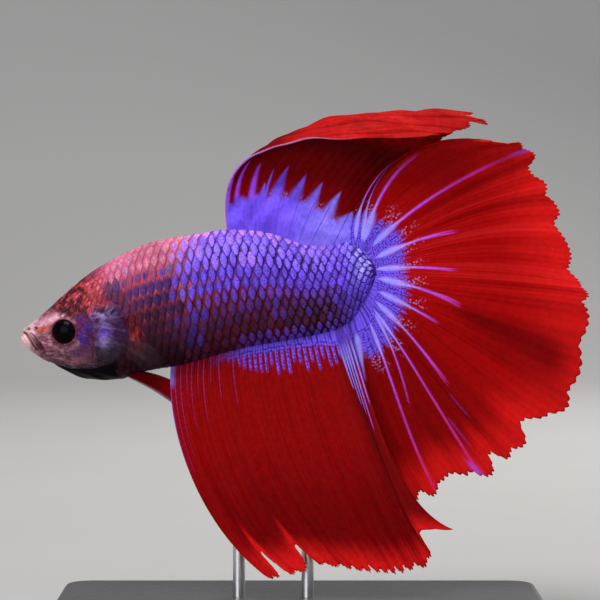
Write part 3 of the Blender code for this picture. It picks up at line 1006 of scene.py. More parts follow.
    def own_skin(self, at: Places) -> Array:
        """Share of the skin's own markings on the scales: all over the crown, some behind the gill.

        Args:
            at: Places of the scales.

        Returns:
            One share a scale.
        """
        behind = ramp(self.past_gill(at) + 0.35 * ramp(at.h, -1.0, 1.0), 2.3, 1.3) * ramp(at.s, 17.5, 16.0)
        crown = ramp(at.s, 13.4, 11.6) * ramp(self.above_crown(at), -0.8, -0.4)
        return np.maximum(behind, crown)

    def flank_fields(self, at: Places, seed: Array) -> dict[str, Array]:
        """Shares of blue patches, the dark net round them, tail's blue, back's pink and belly's band.

        Args:
            at: Places of scales or skin.
            seed: A number from 0 to 1 for each.

        Returns:
            Shares by name.
        """
        s, level = at.s, at.level
        start = 21.3 + 2.4 * ramp(level, 0.2, 0.05) - 1.0 * ramp(level, 0.4, 0.6) + 3.4 * (seed - 0.5)
        blue = ramp(s, start - 1.4, start + 1.4)
        net = ramp(s, start + 0.3, start + 4.8)
        tail = ramp(s + 1.6 * (seed - 0.5), 40.0, 44.5)
        ridge = ramp(level + 0.06 * (seed - 0.5), 0.13, 0.05) * ramp(s, 45, 34) * blue
        band = ramp(level + 0.04 * (seed - 0.5), 0.8, 0.88) * ramp(s, 26, 31)
        return {"blue": blue, "net": net, "tail": tail, "ridge": ridge, "band": band}

    def under_shade(self, at: Places) -> Array:
        """Colours of the skin between the scales: bands from back to belly, and a ray-marked blaze.

        Args:
            at: Places of the skin.

        Returns:
            One colour a place.
        """
        s, h, level = at.s, at.h, at.level
        mid = mottle(at.points, 0.8, 5)
        f = self.flank_fields(at, mid)
        front = gradient(level, (0.1, Hue.ROSE), (0.24, Hue.CORAL), (0.32, Hue.CLARET), (0.4, Hue.BLOOD),
                         (0.62, Hue.MULBERRY), (0.8, Hue.MAROON))
        rear = gradient(level, (0.3, Hue.DEEP_BLUE), (0.42, Hue.NIGHT), (0.52, Hue.BLOOD), (0.64, Hue.MAROON))
        colour = mix(front, (rear, f["net"]), (Hue.DEEP_BLUE * 0.8, np.maximum(f["tail"], f["band"] * 0.8)))
        spokes = 0.5 + 0.5 * np.sin(np.arctan2(h + 0.6, s - 11.0) * 30 + 6 * mid)
        blaze = bell((s - 14.9 + 0.1 * h) / 0.9, (h + 1.7) / 2.3)
        glow = mix(
            Hue.BLOOD * 0.4,
            (Hue.CORAL * (1.0, 0.7, 0.5), ramp(spokes, 0.35, 0.8) * ramp(h, -1.0, -2.4) * 0.8))
        return mix(colour, (glow, ramp(blaze, 0.15, 0.5)))

    def skin_shade(self, at: Places) -> Array:
        """Colours of the whole skin: the head's, passing into the flank's behind the gills and nape.

        Args:
            at: Places of the skin.

        Returns:
            One colour a place.
        """
        behind = ramp(self.past_gill(at), -0.05, 0.15) * ramp(at.s, 11.2, 12.8)
        nape = ramp(at.h, 1.6, 3.0) * ramp(at.s, 9.0, 12.5)
        blots = ramp(mottle(at.points, 0.45, 21), 0.3, 0.55)
        return mix(
            self.head_shade(at),
            (self.under_shade(at), np.maximum(behind, nape)),
            (Hue.CHEEK * 0.9, self.collar_share(at) * (0.5 + 0.5 * blots)))

    def scale_shade(self, at: Places, seed: Array) -> tuple[Array, Array, Array]:
        """Colours of each scale's bright patch, of its rim, and of the gaps above and below it.

        Args:
            at: Places of the scales.
            seed: A random number for each scale.

        Returns:
            Patch, rim and gap colours for each scale.
        """
        s, h, level = at.s, at.h, at.level
        f = self.flank_fields(at, seed)
        other = lattice_hash(np.stack([seed * 971, s * 3.1], axis=-1), 8)
        drift = level + 0.05 * (other - 0.5)
        rose = gradient(drift, (0.18, Hue.SALMON), (0.26, Hue.ROSE), (0.3, Hue.NIGHT_VIOLET),
                        (0.44, Hue.NIGHT_VIOLET), (0.54, Hue.MULBERRY), (0.7, Hue.MULBERRY), (0.9, Hue.SOOT))
        rose = mix(
            rose * ((1.0 - 0.45 * ramp(level, 0.34, 0.5)) * (0.75 + 0.45 * other))[..., None],
            (Hue.PALE_PINK * 0.9, (0.25 + 0.6 * other) * ramp(level, 0.3, 0.16)),
            (Hue.LILAC, ramp(other, 0.7, 0.9) * ramp(level, 0.36, 0.28) * 0.5))
        shine = gradient(drift, (0.28, Hue.SHINE_BLUE), (0.38, Hue.BLUE), (0.5, Hue.INDIGO),
                         (0.57, Hue.DUSK), (0.66, Hue.NIGHT_VIOLET), (0.8, Hue.MULBERRY))
        fleck = ramp(seed, 0.7, 0.85) * ramp(level, 0.55, 0.65) * ramp(level, 0.85, 0.8)
        shine = mix(
            shine * (0.78 + 0.5 * other)[..., None],
            (Hue.BLUE * 0.6, fleck * 0.6),
            (Hue.ORCHID, 0.35 * ramp(seed, 0.82, 0.95) * ramp(level, 0.4, 0.3)),
            (Hue.ORCHID, f["ridge"] * (0.5 + 0.5 * other)),
            (Hue.BLUE * (0.7 + 0.5 * other[..., None]), np.maximum(f["tail"], f["band"] * 0.75)),
            (Hue.PALE_BLUE * (0.6 + 0.5 * other[..., None]), ramp(s, 42.5, 45.5) * ramp(level, 0.7, 0.5)))
        front_rim = gradient(level, (0.1, Hue.SALMON), (0.18, Hue.ROSE), (0.27, Hue.ROSE),
                             (0.33, Hue.PLUM), (0.46, Hue.MULBERRY), (0.8, Hue.MAROON))
        rear_rim = gradient(level, (0.1, Hue.INDIGO), (0.18, Hue.NIGHT), (0.34, Hue.NIGHT),
                            (0.42, Hue.DEEP_BLUE), (0.49, Hue.DEEP_BLUE), (0.56, Hue.MAROON))
        rusty = ramp(level, 0.44, 0.56) * ramp(s, 39, 30)
        rear_rim = mix(
            rear_rim, (Hue.BLOOD * (0.35 + 0.55 * other[..., None]), rusty), (Hue.DEEP_BLUE, f["tail"]))
        rim = mix(front_rim * (0.7 + 0.5 * other)[..., None], (rear_rim, f["net"]))
        glow = gradient(level, (0.18, Hue.ROSE), (0.26, Hue.CORAL), (0.36, Hue.EMBER),
                        (0.46, Hue.EMBER), (0.56, Hue.BLOOD), (0.66, Hue.CLARET), (0.85, Hue.MAROON))
        glow = glow * (1.0 - 0.6 * ramp(s, 20, 30))[..., None]
        warm = ramp(level, 0.2, 0.28) * ramp(s, 37, 27) * ramp(level, 0.34 - 0.14 * ramp(s, 23, 19), 0.42)
        behind, over = s - self.old_wound[0], h - self.old_wound[1]
        wound = bell(behind / 1.1, (over + 0.5 * behind) / 0.5)
        collar = self.collar_share(at)
        dark = (Hue.CHEEK * 0.8, collar * 0.85)
        patch = mix(rose, (shine, f["blue"]), (Hue.OLIVE, wound * 0.9), (Hue.NIGHT_VIOLET, collar * 0.8))
        gap = mix(rim, (glow, warm * (0.6 + 0.4 * seed)), (Hue.OLIVE * 0.8, wound * 0.7), dark)
        return np.clip(patch, 0, 1), mix(rim, dark), gap


@dataclass(frozen=True)
class Fold:
    """A soft ridge beside a line in the skin, or a groove where its height is below 0."""

    height: float
    width: float
    off: float = 0.0

    def rise(self, gap: Array) -> Array:
        """Height at a distance from the line."""
        return self.height * bell((gap - self.off) / self.width)


def folded(rise: Array, gap: Array, folds: tuple[Fold, ...]) -> Array:
    """A relief with folds added at a distance from their line."""
    return sum((fold.rise(gap) for fold in folds), start=rise)


@dataclass
class FishSkin:
    """One skin over head, jaws, gill covers, trunk and tail base, a grid of shares by turns."""

    line: BodyLine
    marks: Markings
    rings: int = 436
    head_rings: int = 280
    head_share: float = 0.31
    turns: int = 220
    bare_depth: float = 0.03
    coat_depth: float = 0.12
    socket_depth: float = 1.25
    eye_rim: tuple[Fold, ...] = (Fold(0.13, 0.17, 0.14), Fold(-0.1, 0.3, 0.65))
    mouth_depth: tuple[float, float] = (0.2, 0.12)
    mouth_width: float = 0.12
    lip: Fold = Fold(0.11, 0.16, 0.3)
    jaw_fold: tuple[Fold, ...] = (Fold(-0.1, 0.1), Fold(0.06, 0.14, 0.25))
    nostril: tuple[Fold, ...] = (Fold(-0.22, 0.13), Fold(0.09, 0.08, 0.24))
    cheek: tuple[Fold, ...] = (Fold(-0.09, 0.11), Fold(0.05, 0.2, 0.3))
    cover_height: float = 0.17
    cover_ribs: float = 0.012
    cover_groove: Fold = Fold(-0.16, 0.16, 0.16)
    membrane_depth: float = 0.14
    membrane_pleats: float = 0.035
    lumps: float = 0.05

    def shares(self) -> Array:
        """Shares of the way to the tail, one a ring, closer together on the bare head."""
        at = np.arange(1, self.rings + 1)
        return np.interp(at, (0, self.head_rings, self.rings + 1), (0.0, self.head_share, 1.0))

    def relief(self, at: Places) -> Array:
        """How far the skin stands out from the plain sections, as a sum of ridges, grooves and steps.

        Args:
            at: Places on the plain sections.

        Returns:
            Outward distance at each place.
        """
        s, h = at.s, at.h
        m = self.marks
        ring = m.off_eye(at)
        mouth, _, reach = line_distance(s, h, m.gape)
        jaw, _, _ = line_distance(s, h, m.maxilla)
        holes = [np.hypot((s - out) / 1.3, h - up) for out, up in m.nostrils]
        cheek, _, _ = line_distance(s, h, m.cheek_line)
        gap, side, along = line_distance(s, h, m.gill_edge)
        signed = side * gap
        rise = -self.coat_depth * ramp(s, 10.5, 14.5) - self.bare_depth
        rise = folded(rise, ring, self.eye_rim) - self.socket_depth * ramp(ring, 0.04, -0.3)
        rise = rise - (self.mouth_depth[0] + self.mouth_depth[1] * reach) * bell(mouth / self.mouth_width)
        rise = folded(rise + self.lip.rise(mouth) * ramp(s, 2.6, 1.2), jaw, self.jaw_fold)
        for hole in holes:
            rise = folded(rise, hole, self.nostril)
        rise = folded(rise, cheek, self.cheek)
        cover = ramp(signed, 0.07, -0.07) * ramp(s - 0.19 * h, 9.5, 10.6) * ramp(along, 0.0, 0.12)
        rise = rise + self.cover_height * cover + self.cover_groove.rise(signed) * ramp(along, 0.0, 0.15)
        rise = rise + self.cover_ribs * np.sin(np.arctan2(h - 0.6, s - 8.4) * 40) * cover
        pleat = self.membrane_depth + self.membrane_pleats * np.sin(np.arctan2(h + 2.5, s - 1.0) * 60)
        rise = rise - ramp(signed, 0.0, 0.22) * ramp(along, 0.5, 0.62) * pleat
        lumps = mottle(at.points, 0.7, 11) - 0.5
        return rise + self.lumps * lumps * ramp(s, 12, 8) * ramp(ring, 0.0, 0.4)

    def grid(self) -> tuple[Places, Array]:
        """The finished surface: the plain sections moved out along their normals by the relief.

        Returns:
            Places, rings by turns, and outward normals.
        """
        turn = np.arange(self.turns) / self.turns
        plain = self.line.sections(self.shares(), turn)
        s, h = plain[..., 0], plain[..., 2]
        points = self.line.to_frame(s, plain[..., 1], h)
        closed = np.concatenate([points[:, -1:], points, points[:, :1]], axis=1)
        normal = unit_normals(closed)[:, 1:-1]
        outward = np.sign(np.einsum("ijk,ijk->ij", normal, points - points.mean(axis=1, keepdims=True)).sum())
        normal = normal * outward
        level = np.broadcast_to(1 - np.abs(1 - 2 * turn)[None, :], s.shape)
        rise = self.relief(Places(s, h, level, points)) * ramp(s, -0.2, 0.1) * ramp(s, 46.9, 46.6)
        return Places(s, h, level, points + normal * rise[..., None]), normal

    def sample(self, table: Array, share: Array, turn: Array) -> Array:
        """Reads a grid table between its points, straight along both directions.

        Args:
            table: Values on the grid, rings by turns by any.
            share: Shares of the way to the tail.
            turn: Shares of the way round.

        Returns:
            The table's value at each place.
        """
        a = np.clip(np.interp(share, self.shares(), np.arange(self.rings)), 0, self.rings - 1.001)
        b = (turn % 1) * self.turns
        i, j = a.astype(int), b.astype(int)
        u, v = (a - i)[..., None], (b - j)[..., None]
        k = (j + 1) % self.turns
        j = j % self.turns
        return ((table[i, j] * (1 - v) + table[i, k] * v) * (1 - u)
                + (table[i + 1, j] * (1 - v) + table[i + 1, k] * v) * u)

    def build(self) -> None:
        """Makes the skin, closed by a fan at the snout and at the tail, in place of every flesh node."""
        places, _ = self.grid()
        points = places.points
        colour = self.marks.skin_shade(places)
        tips = points[[0, -1]].mean(axis=1)
        faces = closed_quads(self.rings, self.turns)
        lay = np.stack(np.meshgrid(
            np.arange(self.rings) / self.rings, np.arange(self.turns) / self.turns, indexing="ij"), axis=-1)
        corner = np.concatenate([lay.reshape(-1, 2), [[0, 0.5], [1, 0.5]]])[faces]
        around = corner[:, :, 1]
        seam = (np.ptp(around, axis=1) > 0.6)[:, None] & (around < 0.3)
        corner[:, :, 1] += seam
        surface = Surface(
            "fish_skin", np.concatenate([points.reshape(-1, 3), tips]), faces,
            {"marking": np.concatenate([colour.reshape(-1, 3), colour[[0, -1], 0]])},
            {}, {"SkinLay": corner.reshape(-1, 2) * (0.98, 0.95) + 0.01})
        piece = surface.build(SkinFinish().material(), Slot.SCALES)
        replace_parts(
            piece, "head", "lower_jaw", "throat", "gill_cover_left", "gill_cover_right", "trunk", "tail_base")


def each(number: Array) -> Array:
    """One number a scale, made ready to spread over the plate's own rows and columns."""
    return number[:, None, None]


@dataclass
class ScaleCoat:
    """The scales behind the head, one joined piece of thin plates in rows that overlap toward the tail."""

    skin: FishSkin
    name: str = "fish_scales"
    rows: int = 12
    start: float = 9.0
    end: float = 46.3
    pitches: Line = ((9.0, 0.86), (16.0, 0.98), (22.0, 1.22), (46.3, 1.0))
    lift: float = 0.12
    thickness: float = 0.035
    across: int = 6
    along: int = 4
    tint: float = 0.35
    skew: float = -0.14
    tuck: float = 0.25
    bake_patch: float = 0.003

    def covers(self, at: Places) -> Array:
        """Whether scales grow at a place: behind the gill cover, and on the nape behind the crown's.

        Args:
            at: Places on the skin.

        Returns:
            True where they grow.
        """
        marks = self.skin.marks
        behind = (marks.past_gill(at) > 0.35) & (at.s > 12.0)
        return behind | ((marks.above_crown(at) > 0.2) & (at.s > 12.4))

    def roots(self, height: Array) -> tuple[Places, Array, Array]:
        """Places of the scales on both sides, alternate rows half a pitch on.

        Args:
            height: The skin's heights above the axis on its grid.

        Returns:
            Places, turn round the body and pitch, one a scale.
        """
        table = np.array(self.pitches).T
        at = [self.start]
        while at[-1] < self.end:
            at.append(at[-1] + float(np.interp(at[-1], *table)))
        s, row = np.meshgrid(at, np.arange(-self.rows + 1, self.rows + 1), indexing="ij")
        pitch = np.interp(s, *table)
        s = s + 0.5 * pitch * (row % 2)
        turn = (row - 0.5) / (2 * self.rows)
        level = 2 * np.abs(turn)
        h = self.skin.sample(height[..., None], self.skin.line.share_of(s), turn)[..., 0]
        keep = self.covers(Places(s, h, level)) & (s < self.end) & (level < 0.985)
        return Places(s[keep], h[keep], level[keep]), turn[keep], pitch[keep]

    def build(self) -> None:
        """Makes every plate at once.

        On a plate q runs across from -1 to 1 and t along from the hidden root to the free edge. In pitches
        the root is at -0.9 + 0.3 q^2 and the edge at 0.5 - 0.75 |q|^1.5, so that neighbours leave a pointed
        oval showing. The plate climbs from under the skin to its lift at the edge.
        """
        places, normals = self.skin.grid()
        home, turn, pitch = self.roots(places.h)
        s = home.s
        count = len(s)
        seed = lattice_hash(np.stack([np.round(s * 7), np.round(turn * 997)], axis=-1), 3)
        shove = lattice_hash(np.stack([np.round(s * 5), np.round(turn * 887)], axis=-1), 17) - 0.5
        q = np.linspace(-1, 1, self.across)[None, :, None]
        t = np.linspace(0, 1, self.along)[None, None, :]
        root = -0.9 + 0.3 * q**2
        free = 0.5 - 0.75 * np.abs(q) ** 1.5
        p = root + (free - root) * t
        slim = each(ramp(s, 46.5, 43.0)) * 0.25 + 0.75
        slant = self.skew * each(ramp(s, 30.0, 18.0) * np.sign(turn))
        place_s = each(s + 0.16 * pitch * shove) + (p * each(0.88 + 0.24 * seed) + slant * q) * each(pitch)
        place_t = each(turn) + (q * slim * 1.02 + 0.1 * each(shove)) / (2 * self.rows)
        share = self.skin.line.share_of(np.clip(place_s, 0, 46.7))
        tables = (places.points, normals, places.h[..., None])
        ground, normal, around = (self.skin.sample(table, share, place_t) for table in tables)
        under = Places(place_s, around[..., 0], 2 * np.abs(place_t), ground)
        normal = normal / np.linalg.norm(normal, axis=-1, keepdims=True)
        small = each(0.3 + 0.7 * ramp(s, 10.0, 24.0) * ramp(s, 46.5, 44))
        climb = (self.lift + 0.05) * t**1.15 * (1 - 0.45 * np.abs(q) ** 3)
        rise = (-0.05 + climb + 0.03 * (1 - q**2) * np.sin(math.pi * t)) * small - (1 - small) * 0.01
        gap, side, along = line_distance(under.s, under.h, self.skin.marks.gill_edge)
        rise = rise - self.tuck * ramp(side * gap, 0.12, -0.02) * (along > 0)
        size = self.across * self.along
        cloud = np.stack([
            ground + normal * (rise + offset * self.thickness / 2)[..., None] for offset in (1, -1)], axis=1)
        plate = shell_quads(self.across, self.along)
        faces = (plate[None] + (np.arange(count) * 2 * size)[:, None, None]).reshape(-1, 4)
        marks = self.skin.marks
        patch, rim, gap_tone = (tone[:, None, None, :] for tone in marks.scale_shade(home, seed))
        tips = ramp(np.abs(q), 0.35, 0.65) * np.ones((count, 1, self.along))
        own = marks.skin_shade(under)
        kept = each(marks.own_skin(home))
        patch = mix(patch, (own * each(1 + self.tint * (seed - 0.3))[..., None], kept))
        edge = mix(rim, (gap_tone, tips), (own * (1 - 0.6 * self.tint), kept))
        patch, edge = (np.stack([tone, tone], axis=1).reshape(-1, 3) for tone in (patch, edge))
        ovals = zip(("half_length", "half_height", "blur"), marks.ovals(home, seed))
        local = spread((p + 1) / 2, (q + 1) / 2).reshape(size, 2)
        local = np.concatenate([local, local])[plate].reshape(1, -1, 2)
        lay = np.broadcast_to(local, (count, *local.shape[1:])).reshape(-1, 2)
        spot = np.stack([self.skin.line.share_of(s), turn % 1], axis=-1)[:, None, :] * (0.98, 0.96) + 0.01
        bake = (spot + (local - 0.5) * self.bake_patch).reshape(-1, 2)
        surface = Surface(
            self.name, cloud.reshape(-1, 3), faces, {"patch": patch, "rim": edge},
            {name: np.repeat(part, 2 * size) for name, part in ovals}, {"OFBake": bake, "ScaleLay": lay})
        surface.build(ScaleFinish(f"{self.name}_finish").material(), Slot.SCALES)


@dataclass
class CrownCoat(ScaleCoat):
    """The small flat scales over the crown, smallest above the eyes."""

    name: str = "crown_scales"
    rows: int = 24
    start: float = 3.4
    end: float = 13.2
    pitches: Line = ((3.4, 0.42), (8.0, 0.6), (13.2, 0.86))
    lift: float = 0.06
    thickness: float = 0.022
    tint: float = 0.5
    tuck: float = 0.0

    def covers(self, at: Places) -> Array:
        """Whether scales grow at a place: above the crown's line and clear of the eye."""
        return (self.skin.marks.above_crown(at) > 0.05) & (self.skin.marks.off_eye(at) > 0.6)


@dataclass
class Eye:
    """An eyeball as a squashed ball that looks a little forward, domed out of the head."""

    line: BodyLine
    side: Side
    at: tuple[float, float] = (5.86, -0.39)
    out: float = 2.85
    radius: float = 1.7
    bulge: float = 1.0
    turn: float = math.radians(17)
    rings: int = 48
    spokes: int = 72

    def build(self) -> None:
        """Makes the ball: a sphere's two angles, scaled to the radii, its axis turned toward the snout."""
        out = self.side.value
        polar = np.linspace(0.0, math.pi, self.rings + 2)[1:-1, None]
        around = np.linspace(0, math.tau, self.spokes, endpoint=False)[None, :]
        reach = np.sin(polar) * np.ones_like(around)
        ball = spread(
            self.radius * reach * np.cos(around), out * self.bulge * np.cos(polar),
            self.radius * reach * np.sin(around))
        poles = [[0, out * self.bulge, 0], [0, -out * self.bulge, 0]]
        ball = np.concatenate([ball.reshape(-1, 3), poles])
        c, s = math.cos(out * self.turn), math.sin(out * self.turn)
        ball[:, :2] = ball[:, :2] @ np.array([[c, s], [-s, c]])
        centre = self.line.to_frame(self.at[0], out * self.out, self.at[1])
        faces = closed_quads(self.rings, self.spokes)
        reach = np.append(reach, [0, 0])
        ring = ramp(reach, 0.66, 0.74) * ramp(reach, 0.95, 0.84)
        colour = mix(Hue.BLACK * 0.3, (Hue.MAROON * 0.3, ring * 0.8))
        name = f"eye_{self.side.name.lower()}"
        surface = Surface(f"{name}_ball", ball + centre, faces, {"marking": colour})
        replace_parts(surface.build(EyeFinish().material(), Slot.EYE), name)


GuideRay = tuple[float, Triple, Triple, Triple, Triple]


class RayTone(Enum):
    """How a coloured ray is drawn."""

    BRIGHT = "a pale wedge drawn out into a violet line"
    THREAD = "a thin dotted line of one width"


@dataclass(frozen=True)
class Streak:
    """A coloured ray: share of the base, reach, half width in shares, lean over its reach, tone and start."""

    at: float
    reach: float
    width: float
    lean: float = 0.0
    tone: RayTone = RayTone.BRIGHT
    start: float = -2.0


@dataclass(frozen=True)
class FinPlaces:
    """Places on a fin, columns by rows.

    u is the share along the base, run the distance from the base along the ray, and share the same as a share
    of the ray's length.
    """

    u: Array
    run: Array
    share: Array


Painted = tuple[Array, dict[str, Array]]


@dataclass
class Fin:
    """A fin spanned between guide rays, each a cubic curve, closed into a thin body with a frayed margin."""

    name: str
    node: str
    slot: Slot
    rays: tuple[GuideRay, ...]
    finish: FinFinish
    columns: int = 440
    rows: int = 96
    notches: tuple[Triple, ...] = ()
    lobes: float = 24.0
    fray: float = 0.012
    base_half: float = 0.22
    edge_half: float = 0.05
    ribs: float = 44.0
    rib_height: float = 0.05
    pleats: float = 11.0
    pleat_depth: float = 0.22
    root: float = 0.1
    mirrored: bool = False
    shift: float = 0.0

    def reach(self, u: Array) -> Array:
        """How far the margin lies out along each ray: 1, less notches, scallops and fray.

        Args:
            u: Shares along the base.

        Returns:
            One reach a share.
        """
        out = np.ones(u.shape)
        for at, depth, width in self.notches:
            out = out - depth * bell((u - at) / width)
        scallop = np.abs(np.sin(math.pi * self.lobes * u + 2.0 * np.sin(9 * u)))
        coarse = lattice_hash(np.floor(u * self.lobes * 1.7)[..., None], 21)
        fringe = np.abs(np.sin(math.pi * self.ribs * 2.0 * u))
        return out - self.fray * (1 - scallop) * (0.6 + 0.8 * coarse) - self.fray * 0.45 * (1 - fringe)

    def middle(self, u: Array, v: Array) -> Array:
        """The membrane's middle surface.

        A ray at share u of the base has handles read through the guide rays, and v runs along it as the cubic
        Bezier curve's own parameter. Pleats move it sideways as sines of u that grow toward the margin.

        Args:
            u: Shares along the base, one a column.
            v: Shares along the rays, 0 at the base, one a row.

        Returns:
            Points, columns by rows by 3.
        """
        knots = np.array([ray[0] for ray in self.rays])
        curves = np.array([np.ravel(ray[1:]) for ray in self.rays])
        handles = smooth_through(u, knots, curves).reshape(len(u), 1, 4, 3)
        t = (-self.root + (self.reach(u)[:, None] + self.root) * v[None, :])[..., None]
        weights = ((1 - t) ** 3, 3 * t * (1 - t) ** 2, 3 * t**2 * (1 - t), t**3)
        points = sum(weight * handles[:, :, i] for i, weight in enumerate(weights))
        broad = np.sin(math.tau * (self.pleats * u + 0.35 * np.sin(5 * u)))
        narrow = 0.5 * np.sin(math.tau * (self.pleats * 2.3 * u + 0.4))
        swell = self.pleat_depth * ramp(t[..., 0], 0.08, 0.75) * (broad + narrow)[:, None] * 0.66
        points = points + unit_normals(points) * swell[..., None]
        if self.mirrored:
            points = points * np.array((1.0, -1.0, 1.0))
        return points + np.array((0.0, self.shift, 0.0))

    def shades(self, at: FinPlaces) -> Painted:
        """Colours of the membrane, and how much it is speckled and beaded; each kind of fin has its own."""
        raise NotImplementedError

    def streaked(self, colour: Array, at: FinPlaces, streaks: list[Streak]) -> Array:
        """Lays coloured rays over a fin.

        A bright ray is a wedge that swells near the base, narrows to a line and parts a little toward its
        tip. Its tone passes from pale blue to violet and magenta. A thread is dotted by a sine of the
        distance. Across a ray the colour falls off as e to the minus (offset / width)^2.6.

        Args:
            colour: Colours so far.
            at: Places on the fin.
            streaks: The coloured rays.

        Returns:
            One colour a place.
        """
        u, run = at.u, at.run
        for s in streaks:
            far = np.clip(run / s.reach, 0, 1)
            middle = s.at + s.lean * far
            if s.tone is RayTone.THREAD:
                width = s.width * (1.35 - 0.5 * far)
                split = 0 * far
                tone = mix(Hue.AMETHYST * 0.75, (Hue.MAGENTA * 0.8, far))
                fade = (0.95 - 0.45 * far) * (0.65 + 0.35 * np.sin(8 * run + 60 * s.at))
            else:
                swell = ramp(run, -0.2, 1.8) * (1 - ramp(run, 2.4, 5.2)) * 0.84 + 0.16
                width = (s.width * swell + 0.0024) * np.maximum(1 - far, 1e-6) ** 0.55
                split = s.width * 0.13 * ramp(far, 0.4, 0.9)
                tone = 1.3 * gradient(run, (0.0, Hue.BLUE), (0.9, Hue.PALE_BLUE), (3.8, Hue.PALE_BLUE),
                                      (6.5, Hue.AMETHYST), (13.0, Hue.MAGENTA), (20.0, Hue.FUCHSIA))
                fade = 1 - 0.3 * ramp(far, 0.5, 1.0)
            off = np.minimum(np.abs(u - middle - split), np.abs(u - middle + split))
            body = np.exp(-((off / width) ** 2.6)) * ramp(far, 1.0, 0.9) * ramp(run, s.start, s.start + 1)
            colour = mix(colour, (tone, body * fade))
        return colour

    def build(self) -> None:
        """Makes the fin: the middle surface thickened by ribs at the base and thinned to the margin."""
        u = np.linspace(0, 1, self.columns)
        v = np.linspace(0, 1, self.rows) ** 0.92
        middle = self.middle(u, v)
        steps = np.linalg.norm(np.diff(middle, axis=1), axis=-1)
        run = np.concatenate([np.zeros((self.columns, 1)), np.cumsum(steps, axis=1)], axis=1)
        hidden = run[:, -1:] * self.root / (1 + self.root)
        run = run - hidden
        share = np.clip(run / run[:, -1:], 0, 1)
        run = np.maximum(run, 0)
        rib = 0.5 + 0.5 * np.cos(math.tau * self.ribs * u)[:, None]
        half = self.edge_half + (self.base_half - self.edge_half) * ramp(share, 0.5, 0.0)
        half = half + self.rib_height * rib * ramp(share, 1.0, 0.5)
        step = unit_normals(middle) * half[..., None]
        points = np.concatenate([middle + step, middle - step]).reshape(-1, 3)
        faces = shell_quads(self.columns, self.rows)
        base = np.broadcast_to(u[:, None], run.shape)
        colour, shares = self.shades(FinPlaces(base, run, share))
        lay = np.tile(np.stack([base, share], axis=-1).reshape(-1, 2), (2, 1))
        surface = Surface(
            self.name, points, faces,
            {"marking": np.concatenate([colour, colour]).reshape(-1, 3)},
            {name: np.tile(part.ravel(), 2) for name, part in shares.items()},
            {"RayLay": lay[faces].reshape(-1, 2)})
        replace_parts(surface.build(self.finish.material(), self.slot), self.node)


